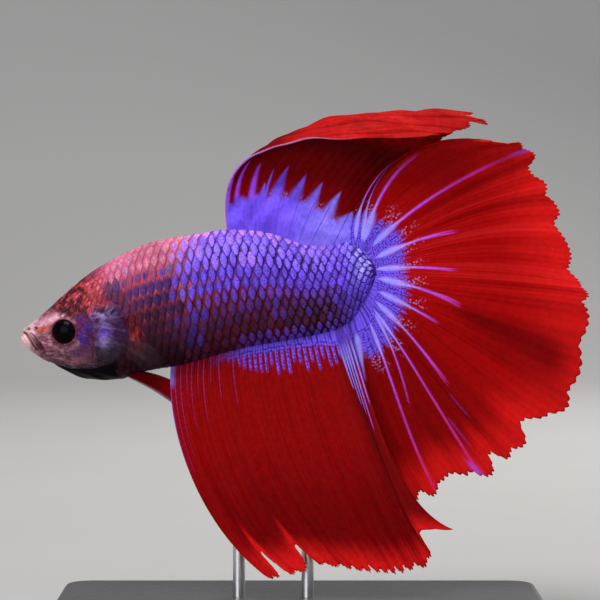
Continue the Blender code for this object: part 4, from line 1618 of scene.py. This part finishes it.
@dataclass
class DorsalFin(Fin):
    """The back fin, whose front curls over toward the fish's left and trails to the tail."""

    spikes: tuple[Triple, ...] = (
        (0.015, 7.0, 0.016), (0.09, 9.4, 0.019), (0.204, 8.6, 0.02), (0.275, 5.6, 0.03), (0.295, 7.9, 0.008),
        (0.358, 8.2, 0.046), (0.475, 7.6, 0.048), (0.587, 7.2, 0.046), (0.718, 7.0, 0.05), (0.88, 4.6, 0.08))
    spike_foot: float = 3.0
    zone: Line = ((0.0, 3.0), (0.15, 3.7), (0.5, 3.9), (0.63, 3.7), (0.76, 2.8), (1.0, 2.2))
    crest: tuple[float, float] = (0.45, 0.7)
    fold_height: float = 0.3
    fold_slant: tuple[float, float] = (2.1, 1.5)
    fold_waves: Line = ((2.1, 0.65), (4.7, 0.35))

    def folds(self, u: Array, t: Array) -> Array:
        """Slanting folds of the crest: sines of a mix of both directions.

        Args:
            u: Shares along the base.
            t: Shares along the rays.

        Returns:
            From -1 to 1 at each place.
        """
        slant = self.fold_slant[0] * u + self.fold_slant[1] * t
        waves = sum(height * np.sin(math.tau * count * slant) for count, height in self.fold_waves)
        return ramp(t, *self.crest) * waves

    def middle(self, u: Array, v: Array) -> Array:
        """The curled membrane, its crest lifted and lowered by the folds.

        Args:
            u: Shares along the base, one a column.
            v: Shares along the rays, one a row.

        Returns:
            Points, columns by rows by 3.
        """
        points = super().middle(u, v)
        points[..., 2] += self.fold_height * (self.folds(u[:, None], v[None, :]) - 0.7 * ramp(v, *self.crest))
        return points

    def shades(self, at: FinPlaces) -> Painted:
        """Blue base with pointed spikes, violet front ray, painted shade under the curl and painted light on
        the crest.

        Args:
            at: Places on the fin.

        Returns:
            One colour a place, and shares by the name of the attribute.
        """
        u, run, share = at.u, at.run, at.share
        # Fold waves of the crest, for painted highlights on their ridges and painted shade between them.
        fold = self.folds(u, share) * ramp(run, 13.0, 17.0)
        # Painted shade on the near face under the flap, darkest just under its edge; painted light on the
        # crest.
        red = mix(
            Hue.SHADED_RED,
            (Hue.LIT_RED * 0.8, ramp(run, 13.0, 18.0)),
            (Hue.HIGHLIGHT_RED, ramp(fold, 0.2, 1.0) * 0.35),
            (Hue.RED * 0.7, ramp(fold, -0.2, -1.0) * 0.5),
            (Hue.DARK_RED * 1.2, ramp(u, 0.4, 0.75) * 0.7 * ramp(run, 17, 12)),
            (Hue.SHADED_RED * 1.35, ramp(run, 13.0, 9.5) * 0.7),
            (Hue.DARK_RED * 1.9, bell((run - 12.2) / 1.6) * 0.35))
        depth = np.interp(u, *np.array(self.zone).T) + 0.25 * np.sin(math.tau * 9 * u + 1.0)
        reach = np.zeros_like(run)
        for at, length, wide in self.spikes:
            far = np.clip((run - self.spike_foot) / (length - self.spike_foot), 0, 1)
            width = wide * (1 - far) ** (0.55 if at < 0.25 else 1.2) + 0.003
            reach = np.maximum(reach, np.exp(-((np.abs(u - at) / width) ** 3)) * ramp(far, 1.0, 0.85))
        vein = np.abs(np.sin(math.pi * (8 * u + 0.25 * np.sin(11 * u) + 0.02 * run)))
        cloud = 0.5 + 0.25 * np.sin(14 * u + 0.9 * run) + 0.25 * np.sin(31 * u - 1.3 * run + 1.0)
        blue = mix(
            Hue.BLUE * 1.15,
            (Hue.SHINE_BLUE * 1.4, cloud),
            (Hue.PALE_BLUE, ramp(u, 0.4, 0.8) * 0.6),
            (Hue.DEEP_BLUE * 1.3, ramp(vein, 0.12, 0.02) * ramp(run, 5.5, 3.0) * ramp(u, 0.3, 0.5) * 0.8),
            (Hue.DEEP_BLUE * 1.5, ramp(run, 1.4, 0.2) * 0.4),
            (Hue.AMETHYST * 0.7, ramp(run, 5.5, 9.0) * 0.7),
            (Hue.AMETHYST * (0.95, 0.8, 1.15), ramp(u, 0.27, 0.22) * ramp(run, 3.0, 4.6) * 0.85))
        violet = mix(Hue.AMETHYST, (Hue.PALE_PINK, 0.3 + 0.5 * ramp(run, 8, 16)))
        zone = ramp(run, depth + 0.35, depth - 0.35)
        colour = mix(red, (blue, np.maximum(zone, reach)), (violet, bell(u / 0.011) * ramp(run, 26, 17)))
        dusted = ramp(run, depth + 1.0, depth + 0.4) * ramp(run, depth - 0.3, depth + 0.2) * (1 - reach)
        return colour, {"speckle": 0.8 * dusted * ramp(u, 0.22, 0.3) * ramp(u, 0.9, 0.7)}


@dataclass
class TailFin(Fin):
    """The halfmoon tail fin."""

    bright: tuple[tuple[float, float, float, float], ...] = (
        (0.04, 12.5, 0.018, -0.03), (0.1, 11.0, 0.014, -0.07), (0.115, 15.0, 0.022, -0.03),
        (0.2, 27.5, 0.018, -0.014), (0.31, 12.0, 0.028, 0.045), (0.455, 11.2, 0.025, 0.03),
        (0.545, 11.8, 0.024, 0.055), (0.655, 9.4, 0.021, 0.005), (0.742, 15.0, 0.02, 0.03),
        (0.808, 28.5, 0.009, 0.05), (0.825, 13.0, 0.008, 0.07), (0.9, 26.5, 0.009, 0.034),
        (0.975, 7.0, 0.012, 0.01))
    threads: tuple[Triple, ...] = ((0.83, 22.6, 17.0), (0.785, 20.0, 15.0))
    thread_width: float = 0.003
    beaded: Line = (
        (0.0, 3.2), (0.07, 4.6), (0.15, 4.0), (0.25, 4.9), (0.38, 4.7), (0.5, 4.4), (0.6, 4.7), (0.7, 4.6),
        (0.775, 4.6), (0.86, 4.8), (0.94, 4.4), (1.0, 3.6))

    def shades(self, at: FinPlaces) -> Painted:
        """Red with painted shade in the folds, painted glow at the margin, and blue rays from a beaded base.

        Args:
            at: Places on the fin.

        Returns:
            One colour a place, and shares by the name of the attribute.
        """
        u, run, share = at.u, at.run, at.share
        fold = bell((u - 0.6 - 0.03 * share) / 0.022) * ramp(share, 0.3, 0.5) * ramp(share, 1.0, 0.85)
        bare = mix(
            Hue.RED * 1.12,
            # painted glow of light through the thin margin
            (Hue.LIT_RED * 1.2, ramp(share, 0.6, 1.0) * 0.85),
            (Hue.RED * 0.66, ramp(u, 0.62, 0.82) * ramp(share, 0.92, 0.7)),
            # painted shade in the crease of the fold
            (Hue.SHADED_RED, fold * 0.8),
            # painted shadow of the dorsal fin over the top of the tail
            (Hue.DARK_RED * 1.1, ramp(u + 0.12 * share, 0.17, 0.05) * ramp(share, 0.92, 0.7) * 0.85),
            # painted highlight on the top edge, folded over toward the light above
            (Hue.HIGHLIGHT_RED, ramp(u, 0.16, 0.06) * ramp(share, 0.9, 0.97)),
            (Hue.BLUE, ramp(run, 3.2 + 0.4 * np.sin(70 * u), 2.0)))
        threads = [
            Streak(at, reach, self.thread_width, tone=RayTone.THREAD, start=start)
            for at, reach, start in self.threads]
        colour = self.streaked(bare, at, [Streak(*row) for row in self.bright] + threads)
        ray = np.clip(np.abs(colour - bare).sum(axis=-1) / 0.5, 0, 1)
        tips = bell((u - 0.187) / 0.006) + bell((u - 0.852) / 0.005)
        colour = mix(colour, (Hue.AMETHYST, np.clip(tips, 0, 1) * ramp(share, 0.88, 0.96) * 0.7))
        reach = np.interp(u, *np.array(self.beaded).T) + 0.5 * np.sin(220 * u)
        beads = ramp(run, reach, reach - 1.0) * (1 - 0.85 * ray)
        near = ramp(run, reach + 2.6, reach + 0.6) * ramp(run, 3.0, 4.0)
        dusted = near * ramp(np.sin(math.tau * (10.5 * u + 0.1 * run)), -0.3, 0.5)
        return colour, {"beads": beads, "speckle": dusted}


@dataclass
class AnalFin(Fin):
    """The deep fin under the belly and tail."""

    threads: tuple[Triple, ...] = (
        (0.0, 15.0, 0.005), (0.028, 14.0, 0.0016), (0.06, 12.0, 0.0014), (0.095, 6.0, 0.0014),
        (0.121, 9.0, 0.0015), (0.157, 4.0, 0.0014), (0.188, 8.0, 0.0016), (0.226, 3.2, 0.0015),
        (0.272, 5.5, 0.0017), (0.348, 7.0, 0.0018), (0.4, 3.0, 0.0018))
    spikes: Line = ((0.922, 7.0), (0.938, 9.5), (0.954, 11.0), (0.97, 13.5), (0.99, 10.0))
    fringe_rays: int = 34

    def shades(self, at: FinPlaces) -> Painted:
        """Deep red, painted shade outward, painted glow on the margin, beaded blue fringe and pale blue rear
        rays.

        Args:
            at: Places on the fin.

        Returns:
            One colour a place, and shares by the name of the attribute.
        """
        u, run, share = at.u, at.run, at.share
        ray = 0.5 + 0.5 * np.cos(math.tau * self.fringe_rays * u)
        cell = lattice_hash(np.floor(self.fringe_rays * u + 0.5)[..., None], 6)
        length = 0.9 + 2.4 * ramp(u, 0.3, 0.55) * ramp(u, 0.99, 0.9) * (0.5 + 0.75 * cell)
        fringe = ramp(run, length + 0.4, length - 0.4) * ramp(ray + 0.9 * ramp(run, 1.0, 0.3), 0.4, 0.62)
        beads = fringe * ramp(u, 0.2, 0.45)
        colour = mix(
            Hue.RED * 0.78,
            # painted shade over the outer part of the fin
            (Hue.SHADED_RED * 0.95, ramp(share, 0.35, 0.75) * 0.85),
            # painted glow of light through the thin margin
            (Hue.LIT_RED * 1.25, ramp(share - 0.08 * u, 0.78, 0.94)),
            (Hue.RED, ramp(u, 0.12, 0.0) * ramp(share, 0.5, 0.9) * 0.7),
            (Hue.DARK_RED, bell((u - 0.94) / 0.045) * ramp(share, 0.85, 0.5) * 0.8),
            (Hue.BLUE, beads * ramp(run, 0.8, 1.6) * 0.5),
            (Hue.PALE_BLUE * 0.8, bell(u / 0.02) * ramp(run, 2.2, 1.0)))
        colour = self.streaked(colour, at, [Streak(*row, tone=RayTone.THREAD) for row in self.threads])
        tone = 0.9 * gradient(run, (0.5, Hue.BLUE), (3.0, Hue.PALE_BLUE), (12.0, Hue.AMETHYST))
        rear = np.zeros_like(run)
        for at, length in self.spikes:
            far = np.clip(run / length, 0, 1)
            slim = (0.0042 + 0.0034 * ramp(run, 5.5, 2.0)) * (1 - far) ** 0.3 + 0.0005
            body = np.exp(-((np.abs(u - at) / slim) ** 3)) * ramp(far, 1.0, 0.9)
            rear = np.maximum(rear, body)
            colour = mix(colour, (tone, body))
        colour = mix(colour, (Hue.NIGHT, ramp(u, 0.91, 0.925) * (1 - rear) * ramp(run, 6.0, 3.0)))
        return colour, {"beads": beads * (1 - rear)}


@dataclass
class PelvicFin(Fin):
    """A long narrow belly fin with a pale front edge."""

    def shades(self, at: FinPlaces) -> Painted:
        """Red membrane, paler and greyish at the front ray.

        Args:
            at: Places on the fin.

        Returns:
            One colour a place, and shares by the name of the attribute.
        """
        u, run, share = at.u, at.run, at.share
        colour = mix(Hue.DARK_RED * 1.6, (Hue.RED, ramp(share, 0.1, 0.6)))
        front = ramp(u, 0.22, 0.05) * ramp(share, 0.95, 0.6)
        return mix(colour, (mix(Hue.PEACH * 0.8, (Hue.LILAC, share)), front)), {}


@dataclass
class PectoralFin(Fin):
    """A small side fin, a clear greyish fan."""

    def shades(self, at: FinPlaces) -> Painted:
        """Greyish rose membrane with a dark red base.

        Args:
            at: Places on the fin.

        Returns:
            One colour a place, and shares by the name of the attribute.
        """
        u, run, share = at.u, at.run, at.share
        ray = np.abs(np.cos(math.pi * 11 * u)) ** 14
        colour = mix(Hue.SMOKE * 0.7, (Hue.PEACH * 0.8, ray * ramp(share, 1.0, 0.3)))
        return mix(colour, (Hue.BLOOD * 0.5, ramp(share, 0.35, 0.0) * 0.7)), {}


@dataclass
class FinSet:
    """All seven fins: each one's guide rays, from the front to the rear, and its sizes."""

    dorsal_rays: tuple[GuideRay, ...] = (
        (0.00, (-9.5, 0.0, 53.2), (-10.9, -0.6, 63.5), (-4.9, -4.6, 65.9), (16.9, -5.4, 65.1)),
        (0.12, (-7.7, 0.0, 53.2), (-8.8, 0.5, 63.5), (-4.9, -3.2, 68.5), (20.3, -4.6, 66.1)),
        (0.22, (-6.1, 0.0, 53.1), (-6.5, 0.9, 63.5), (-3.6, -2.2, 71.0), (23.1, -3.9, 67.1)),
        (0.36, (-3.9, 0.0, 53.0), (-3.2, 1.1, 62.2), (2.3, -1.0, 72.1), (24.3, -3.2, 67.0)),
        (0.52, (-1.4, 0.0, 52.6), (0.7, 1.2, 60.3), (6.5, 0.4, 71.0), (22.1, -1.4, 68.2)),
        (0.75, (2.2, 0.0, 51.8), (5.8, 1.3, 58.3), (12.0, 1.8, 68.7), (20.2, 0.8, 66.4)),
        (1.00, (6.3, 0.4, 51.0), (8.4, 1.9, 55.2), (12.9, 2.6, 61.4), (18.2, 2.2, 64.8)))
    tail_rays: tuple[GuideRay, ...] = (
        (0.00, (6.6, -0.3, 51.4), (6.1, -0.7, 57.3), (11.1, -0.3, 64.2), (20.3, -0.9, 64.9)),
        (0.09, (7.8, -0.2, 51.0), (8.8, -0.4, 58.3), (14.3, 0.0, 66.1), (26.0, -2.4, 64.4)),
        (0.19, (8.7, 0.0, 50.5), (13.0, 0.0, 55.5), (20.2, 0.4, 60.3), (30.0, 0.2, 63.6)),
        (0.33, (9.4, 0.0, 49.0), (16.3, 0.0, 52.6), (24.7, 1.0, 56.4), (33.8, 1.4, 56.0)),
        (0.46, (9.5, 0.0, 47.9), (18.2, -0.4, 49.0), (26.0, 0.4, 49.0), (36.1, 0.0, 47.1)),
        (0.57, (9.5, 0.0, 46.6), (17.6, -1.0, 45.1), (27.3, 0.0, 44.0), (37.7, -1.0, 42.5)),
        (0.66, (9.4, 0.0, 45.3), (16.9, -0.6, 42.5), (26.0, 1.4, 35.6), (35.5, 1.6, 30.5)),
        (0.76, (9.1, 0.0, 44.0), (15.0, 0.0, 39.5), (20.8, 1.2, 31.0), (28.9, 1.0, 24.3)),
        (0.85, (8.7, 0.0, 43.0), (12.0, 0.3, 38.2), (15.6, 1.2, 31.0), (24.3, 1.4, 20.4)),
        (0.93, (8.1, 0.1, 41.7), (10.1, 0.6, 37.5), (12.0, 1.3, 27.8), (18.2, 1.4, 18.3)),
        (1.00, (6.3, 0.3, 40.4), (7.2, 1.0, 34.9), (9.9, 1.6, 24.5), (15.4, 1.5, 17.0)))
    anal_rays: tuple[GuideRay, ...] = (
        (0.00, (-16.8, 0.0, 35.2), (-17.4, -1.6, 27.8), (-13.5, -2.4, 14.8), (-3.8, -3.0, 7.9)),
        (0.16, (-13.1, 0.0, 36.2), (-14.0, -0.8, 27.8), (-9.9, -1.6, 16.1), (-1.0, -1.8, 8.3)),
        (0.36, (-8.5, 0.0, 37.5), (-8.3, -0.6, 28.4), (-4.9, -1.4, 18.0), (3.9, -1.0, 9.2)),
        (0.60, (-2.9, 0.0, 38.4), (-2.1, -0.4, 28.4), (1.3, -1.2, 19.3), (9.4, -1.6, 8.6)),
        (0.82, (2.3, 0.0, 39.5), (4.2, -0.3, 31.0), (7.8, -1.0, 19.3), (14.6, -0.8, 8.8)),
        (0.93, (4.8, -0.1, 40.0), (6.8, -0.6, 33.0), (10.9, -1.8, 20.6), (17.0, -2.0, 10.9)),
        (0.97, (5.6, -0.15, 40.1), (8.2, -0.8, 32.4), (11.4, -1.9, 18.6), (15.9, -2.4, 13.8)),
        (1.00, (6.4, -0.2, 40.2), (9.2, -1.0, 31.5), (12.2, -2.0, 16.8), (20.2, -2.8, 14.3)))
    pectoral_rays: tuple[GuideRay, ...] = (
        (0.0, (-22.4, -4.3, 39.6), (-21.2, -5.8, 39.5), (-19.6, -6.7, 38.9), (-18.2, -7.2, 38.0)),
        (0.5, (-22.5, -4.4, 38.6), (-21.2, -6.0, 38.0), (-19.2, -7.0, 37.1), (-17.3, -7.5, 36.0)),
        (1.0, (-22.7, -4.3, 37.6), (-21.8, -5.8, 36.6), (-20.5, -6.6, 35.6), (-19.4, -7.0, 34.7)))
    pelvic_rays: tuple[GuideRay, ...] = (
        (0.0, (-22.6, -0.7, 34.2), (-19.9, -0.6, 32.8), (-17.0, 1.0, 31.2), (-12.0, 1.5, 26.6)),
        (0.6, (-21.8, -0.8, 34.4), (-18.8, -0.6, 33.6), (-16.0, 1.1, 32.2), (-11.4, 1.6, 27.0)),
        (1.0, (-20.9, -0.8, 34.7), (-17.9, -0.5, 34.2), (-15.6, 1.2, 33.1), (-13.4, 1.5, 31.0)))
    pelvic_splay: float = 1.9

    def build(self) -> None:
        """Makes all seven fins."""
        DorsalFin(
            "dorsal_membrane", "dorsal_fin", Slot.FIN, self.dorsal_rays,
            FinFinish("dorsal_fin_finish", 62.0, contrast=0.3, ray_tone=0.05, ray_depth=0.00002, patchy=0.9),
            notches=((0.30, 0.04, 0.02), (0.45, 0.03, 0.02)), lobes=12.0, ribs=34.0, rib_height=0.012,
            pleats=9.0, pleat_depth=0.16).build()
        TailFin(
            "tail_membrane", "caudal_fin", Slot.FIN, self.tail_rays,
            FinFinish("tail_fin_finish", 88.0, contrast=0.32, ray_tone=0.07, ray_depth=0.00003),
            columns=470, rows=92, lobes=19.0, fray=0.03, ribs=56.0, rib_height=0.015, pleats=10.0,
            pleat_depth=0.24, notches=(
                (0.255, 0.05, 0.02), (0.36, 0.03, 0.012), (0.715, 0.09, 0.02), (0.805, 0.05, 0.012),
                (0.89, 0.06, 0.02), (0.965, 0.04, 0.015))).build()
        AnalFin(
            "anal_membrane", "anal_fin", Slot.FIN, self.anal_rays,
            FinFinish("anal_fin_finish", 70.0, bead_rays=68.0, contrast=0.4, ray_tone=0.1, ray_depth=0.00003,
                      patchy=0.7),
            notches=((0.12, 0.13, 0.018), (0.30, 0.12, 0.018)), lobes=17.0, fray=0.022, ribs=36.0,
            rib_height=0.02, pleats=7.0, pleat_depth=0.16).build()
        for side in Side:
            right = side is Side.RIGHT
            label = side.name.lower()
            PectoralFin(
                f"pectoral_membrane_{label}", f"pectoral_fin_{label}", Slot.CLEAR_FIN, self.pectoral_rays,
                FinFinish(f"pectoral_finish_{label}", 13.0, glow=0.3, clear=0.97),
                columns=120, rows=40, lobes=8.0, fray=0.02, base_half=0.12, edge_half=0.03, ribs=11.0,
                rib_height=0.03, pleats=2.0, pleat_depth=0.08, mirrored=right).build()
            PelvicFin(
                f"pelvic_membrane_{label}", f"pelvic_fin_{label}", Slot.FIN, self.pelvic_rays,
                FinFinish(f"pelvic_finish_{label}", 8.0, glow=0.15),
                columns=60, rows=90, lobes=3.0, fray=0.01, base_half=0.18, ribs=5.0, rib_height=0.04,
                pleats=1.0, pleat_depth=0.05, shift=self.pelvic_splay if right else 0.0).build()


@dataclass
class DisplayStand:
    """A rounded plate and two rods, each as large as its node's box says."""

    round_over: float = 0.9
    corner: float = 3.0
    sides: int = 48
    rods: tuple[str, ...] = ("front", "rear")
    sunk: float = 0.1
    short: float = 0.05
    chamfer: float = 0.25

    def room(self, node: str) -> tuple[Array, Array]:
        """Lowest and highest corners of a node, in millimetres."""
        low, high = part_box(node)
        return np.array(low) / MM, np.array(high) / MM

    def closed(
            self, name: str, node: str, rings: Array, finish: bpy.types.Material, slot: Slot,
            sharp: float) -> None:
        """Makes a piece of rings whose two ends are closed flat, in place of a node.

        Args:
            name: Name of the piece.
            node: Node that it stands for.
            rings: Points, rings by points in a ring by 3.
            finish: Its material.
            slot: Its record slot.
            sharp: Least angle between faces that stays an edge, in degrees.
        """
        points = np.concatenate([rings.reshape(-1, 3), rings[[0, -1]].mean(axis=1)])
        piece = Surface(name, points, closed_quads(*rings.shape[:2])).build(finish, slot)
        piece.data.set_sharp_from_angle(angle=math.radians(sharp))
        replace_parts(piece, node)

    def plate(self, finish: bpy.types.Material) -> None:
        """Makes the base: a profile with rounded edges carried round a rectangle with rounded corners.

        Args:
            finish: Its material.
        """
        low, high = self.room("stand_base")
        length, depth, thick = high - low
        quarter = np.linspace(0, math.pi / 2, 9)
        r = self.round_over
        around = np.concatenate([np.stack([
            sx * (length / 2 - self.corner) + self.corner * np.cos(quarter + k * math.pi / 2),
            sy * (depth / 2 - self.corner) + self.corner * np.sin(quarter + k * math.pi / 2)], axis=-1)
            for k, (sx, sy) in enumerate(((1, 1), (-1, 1), (-1, -1), (1, -1)))])
        dip, rise = r * (1 - np.sin(quarter)), r * (1 - np.cos(quarter))
        inset = np.concatenate([[r], dip, rise, [r]])
        height = np.concatenate([[0], rise, thick - dip, [thick]])
        flat = around[None] * (1 - inset[:, None, None] / np.array([length / 2, depth / 2]))
        up = np.broadcast_to(height[:, None, None], (*flat.shape[:2], 1))
        rings = np.concatenate([flat, up], axis=-1)
        self.closed("stand_plate", "stand_base", rings, finish, Slot.BASE, 40)

    def rod(self, label: str, finish: bpy.types.Material) -> None:
        """Makes one rod: a turned profile with a small chamfer at its top.

        Args:
            label: Which rod.
            finish: Its material.
        """
        low, high = self.room(f"stand_rod_{label}")
        x, y, middle = (low + high) / 2
        radius = (high[0] - low[0]) / 2 * np.array([1.0, 1.0, 1.0, 1 - self.chamfer])[:, None]
        top = high[2] - self.short
        height = np.array([low[2] + self.sunk, middle, top - self.chamfer, top])[:, None]
        around = np.linspace(0, math.tau, self.sides, endpoint=False)
        rings = spread(x + radius * np.cos(around), y + radius * np.sin(around), height)
        self.closed(f"stand_steel_rod_{label}", f"stand_rod_{label}", rings, finish, Slot.STEEL, 30)

    def build(self) -> None:
        """Makes the plate and the rods."""
        black = StandFinish("stand_satin_black", (0.03, 0.03, 0.034), 0.0, 0.36, (1.0, 1.0, 1.0), 900.0)
        steel = StandFinish("stand_brushed_steel", (0.62, 0.62, 0.64), 1.0, 0.3, (1.0, 1.0, 0.04), 2600.0)
        self.plate(black.material())
        brushed = steel.material()
        for label in self.rods:
            self.rod(label, brushed)


@dataclass(frozen=True)
class Lamp:
    """A soft square light: name, place, side and power in watts, and tint."""

    name: str
    place: Triple
    size: float
    power: float
    tint: Triple


@dataclass
class Studio:
    """Pale sweep and soft lights, sized in metres, and the camera at the fish's left side, in millimetres."""

    look_at: Triple = (0.0, 0.0, 44.0)
    distance: float = 350.0
    elevation: float = math.radians(2.0)
    frame_width: float = 78.0
    film: float = 36.0
    front: float = -1.6
    back: float = 0.5
    bend: float = 0.35
    top: float = 1.6
    half_width: float = 1.8
    lit_point: Triple = (0.0, 0.0, 0.045)
    lamps: tuple[Lamp, ...] = (
        Lamp("key_above", (-0.12, -0.3, 0.55), 0.3, 5.4, (1.0, 0.98, 0.96)),
        Lamp("fill_front", (-0.35, -0.6, 0.1), 0.5, 3.0, (0.95, 0.96, 1.0)),
        Lamp("rim_behind", (0.25, 0.3, 0.4), 0.3, 3.0, (1.0, 0.97, 0.95)))
    sky: tuple[float, float, float, float] = (0.8, 0.82, 0.86, 1.0)
    sky_strength: float = 0.25

    def camera(self) -> None:
        """A long lens level with the fish, looking a little down at its left side."""
        data = bpy.data.cameras.new("camera")
        data.sensor_width = self.film
        data.lens = self.film * self.distance / self.frame_width
        data.clip_start, data.clip_end = 0.01, 10.0
        camera = bpy.data.objects.new("camera", data)
        away = self.distance * MM
        x, y, z = (c * MM for c in self.look_at)
        camera.location = (x, y - away * math.cos(self.elevation), z + away * math.sin(self.elevation))
        camera.rotation_euler = (math.pi / 2 - self.elevation, 0.0, 0.0)
        link(camera)
        bpy.context.scene.camera = camera

    def sweep(self) -> None:
        """A floor that curves up behind the fish: a straight run, a quarter turn and a straight rise."""
        turn = np.linspace(0, math.pi / 2, 24)
        y = np.concatenate([[self.front], self.back + self.bend * np.sin(turn), [self.back + self.bend]])
        z = np.concatenate([[0.0], self.bend * (1 - np.cos(turn)), [self.top]])
        x = np.array([-self.half_width, self.half_width])
        points = spread(x, y[:, None], z[:, None])
        mesh = bpy.data.meshes.new("pale_sweep")
        mesh.from_pydata(points.reshape(-1, 3).tolist(), [], grid_quads(len(y), 2).tolist())
        mesh.shade_smooth()
        board = NodeBoard("pale_paper")
        # Painted shade: darker in front, where the lamps light the floor most, paler behind and up the rise.
        back = board.step(board.add("ShaderNodeSeparateXYZ", {0: board.place()}).outputs[1], 0.0, 0.7)
        near = board.blend(board.noise(14.0), (0.25, 0.25, 0.248), (0.28, 0.28, 0.277))
        tone = board.blend(back, near, (0.46, 0.46, 0.457))
        mesh.materials.append(board.close(board.principled(
            Base_Color=tone, Roughness=0.8, Specular_IOR_Level=0.2)))
        floor = bpy.data.objects.new("pale_sweep", mesh)
        link(floor)

    def light(self, lamp: Lamp) -> None:
        """Hangs one lamp, turned toward the lit point.

        Args:
            lamp: The lamp.
        """
        data = bpy.data.lights.new(lamp.name, "AREA")
        data.shape = "SQUARE"
        data.size, data.energy, data.color = lamp.size, lamp.power, lamp.tint
        shade = bpy.data.objects.new(lamp.name, data)
        shade.location = lamp.place
        away = np.array(lamp.place) - np.array(self.lit_point)
        flat = math.hypot(away[0], away[1])
        shade.rotation_euler = (math.atan2(flat, away[2]), 0.0, math.atan2(away[0], -away[1]))
        link(shade)

    def build(self) -> None:
        """Sets the whole studio."""
        self.camera()
        self.sweep()
        for lamp in self.lamps:
            self.light(lamp)
        world = bpy.data.worlds.new("soft_room")
        world.use_nodes = True
        sky = world.node_tree.nodes["Background"]
        sky.inputs["Color"].default_value = self.sky
        sky.inputs["Strength"].default_value = self.sky_strength
        bpy.context.scene.world = world
        bpy.context.scene.view_settings.view_transform = "Standard"


def main() -> None:
    """Builds the fish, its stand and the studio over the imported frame."""
    logging.basicConfig(level=logging.INFO, format="%(name)s %(message)s")
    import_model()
    line = BodyLine()
    skin = FishSkin(line, Markings())
    skin.build()
    ScaleCoat(skin).build()
    CrownCoat(skin).build()
    for side in Side:
        Eye(line, side).build()
    FinSet().build()
    DisplayStand().build()
    Studio().build()


if __name__ == "__main__":
    main()
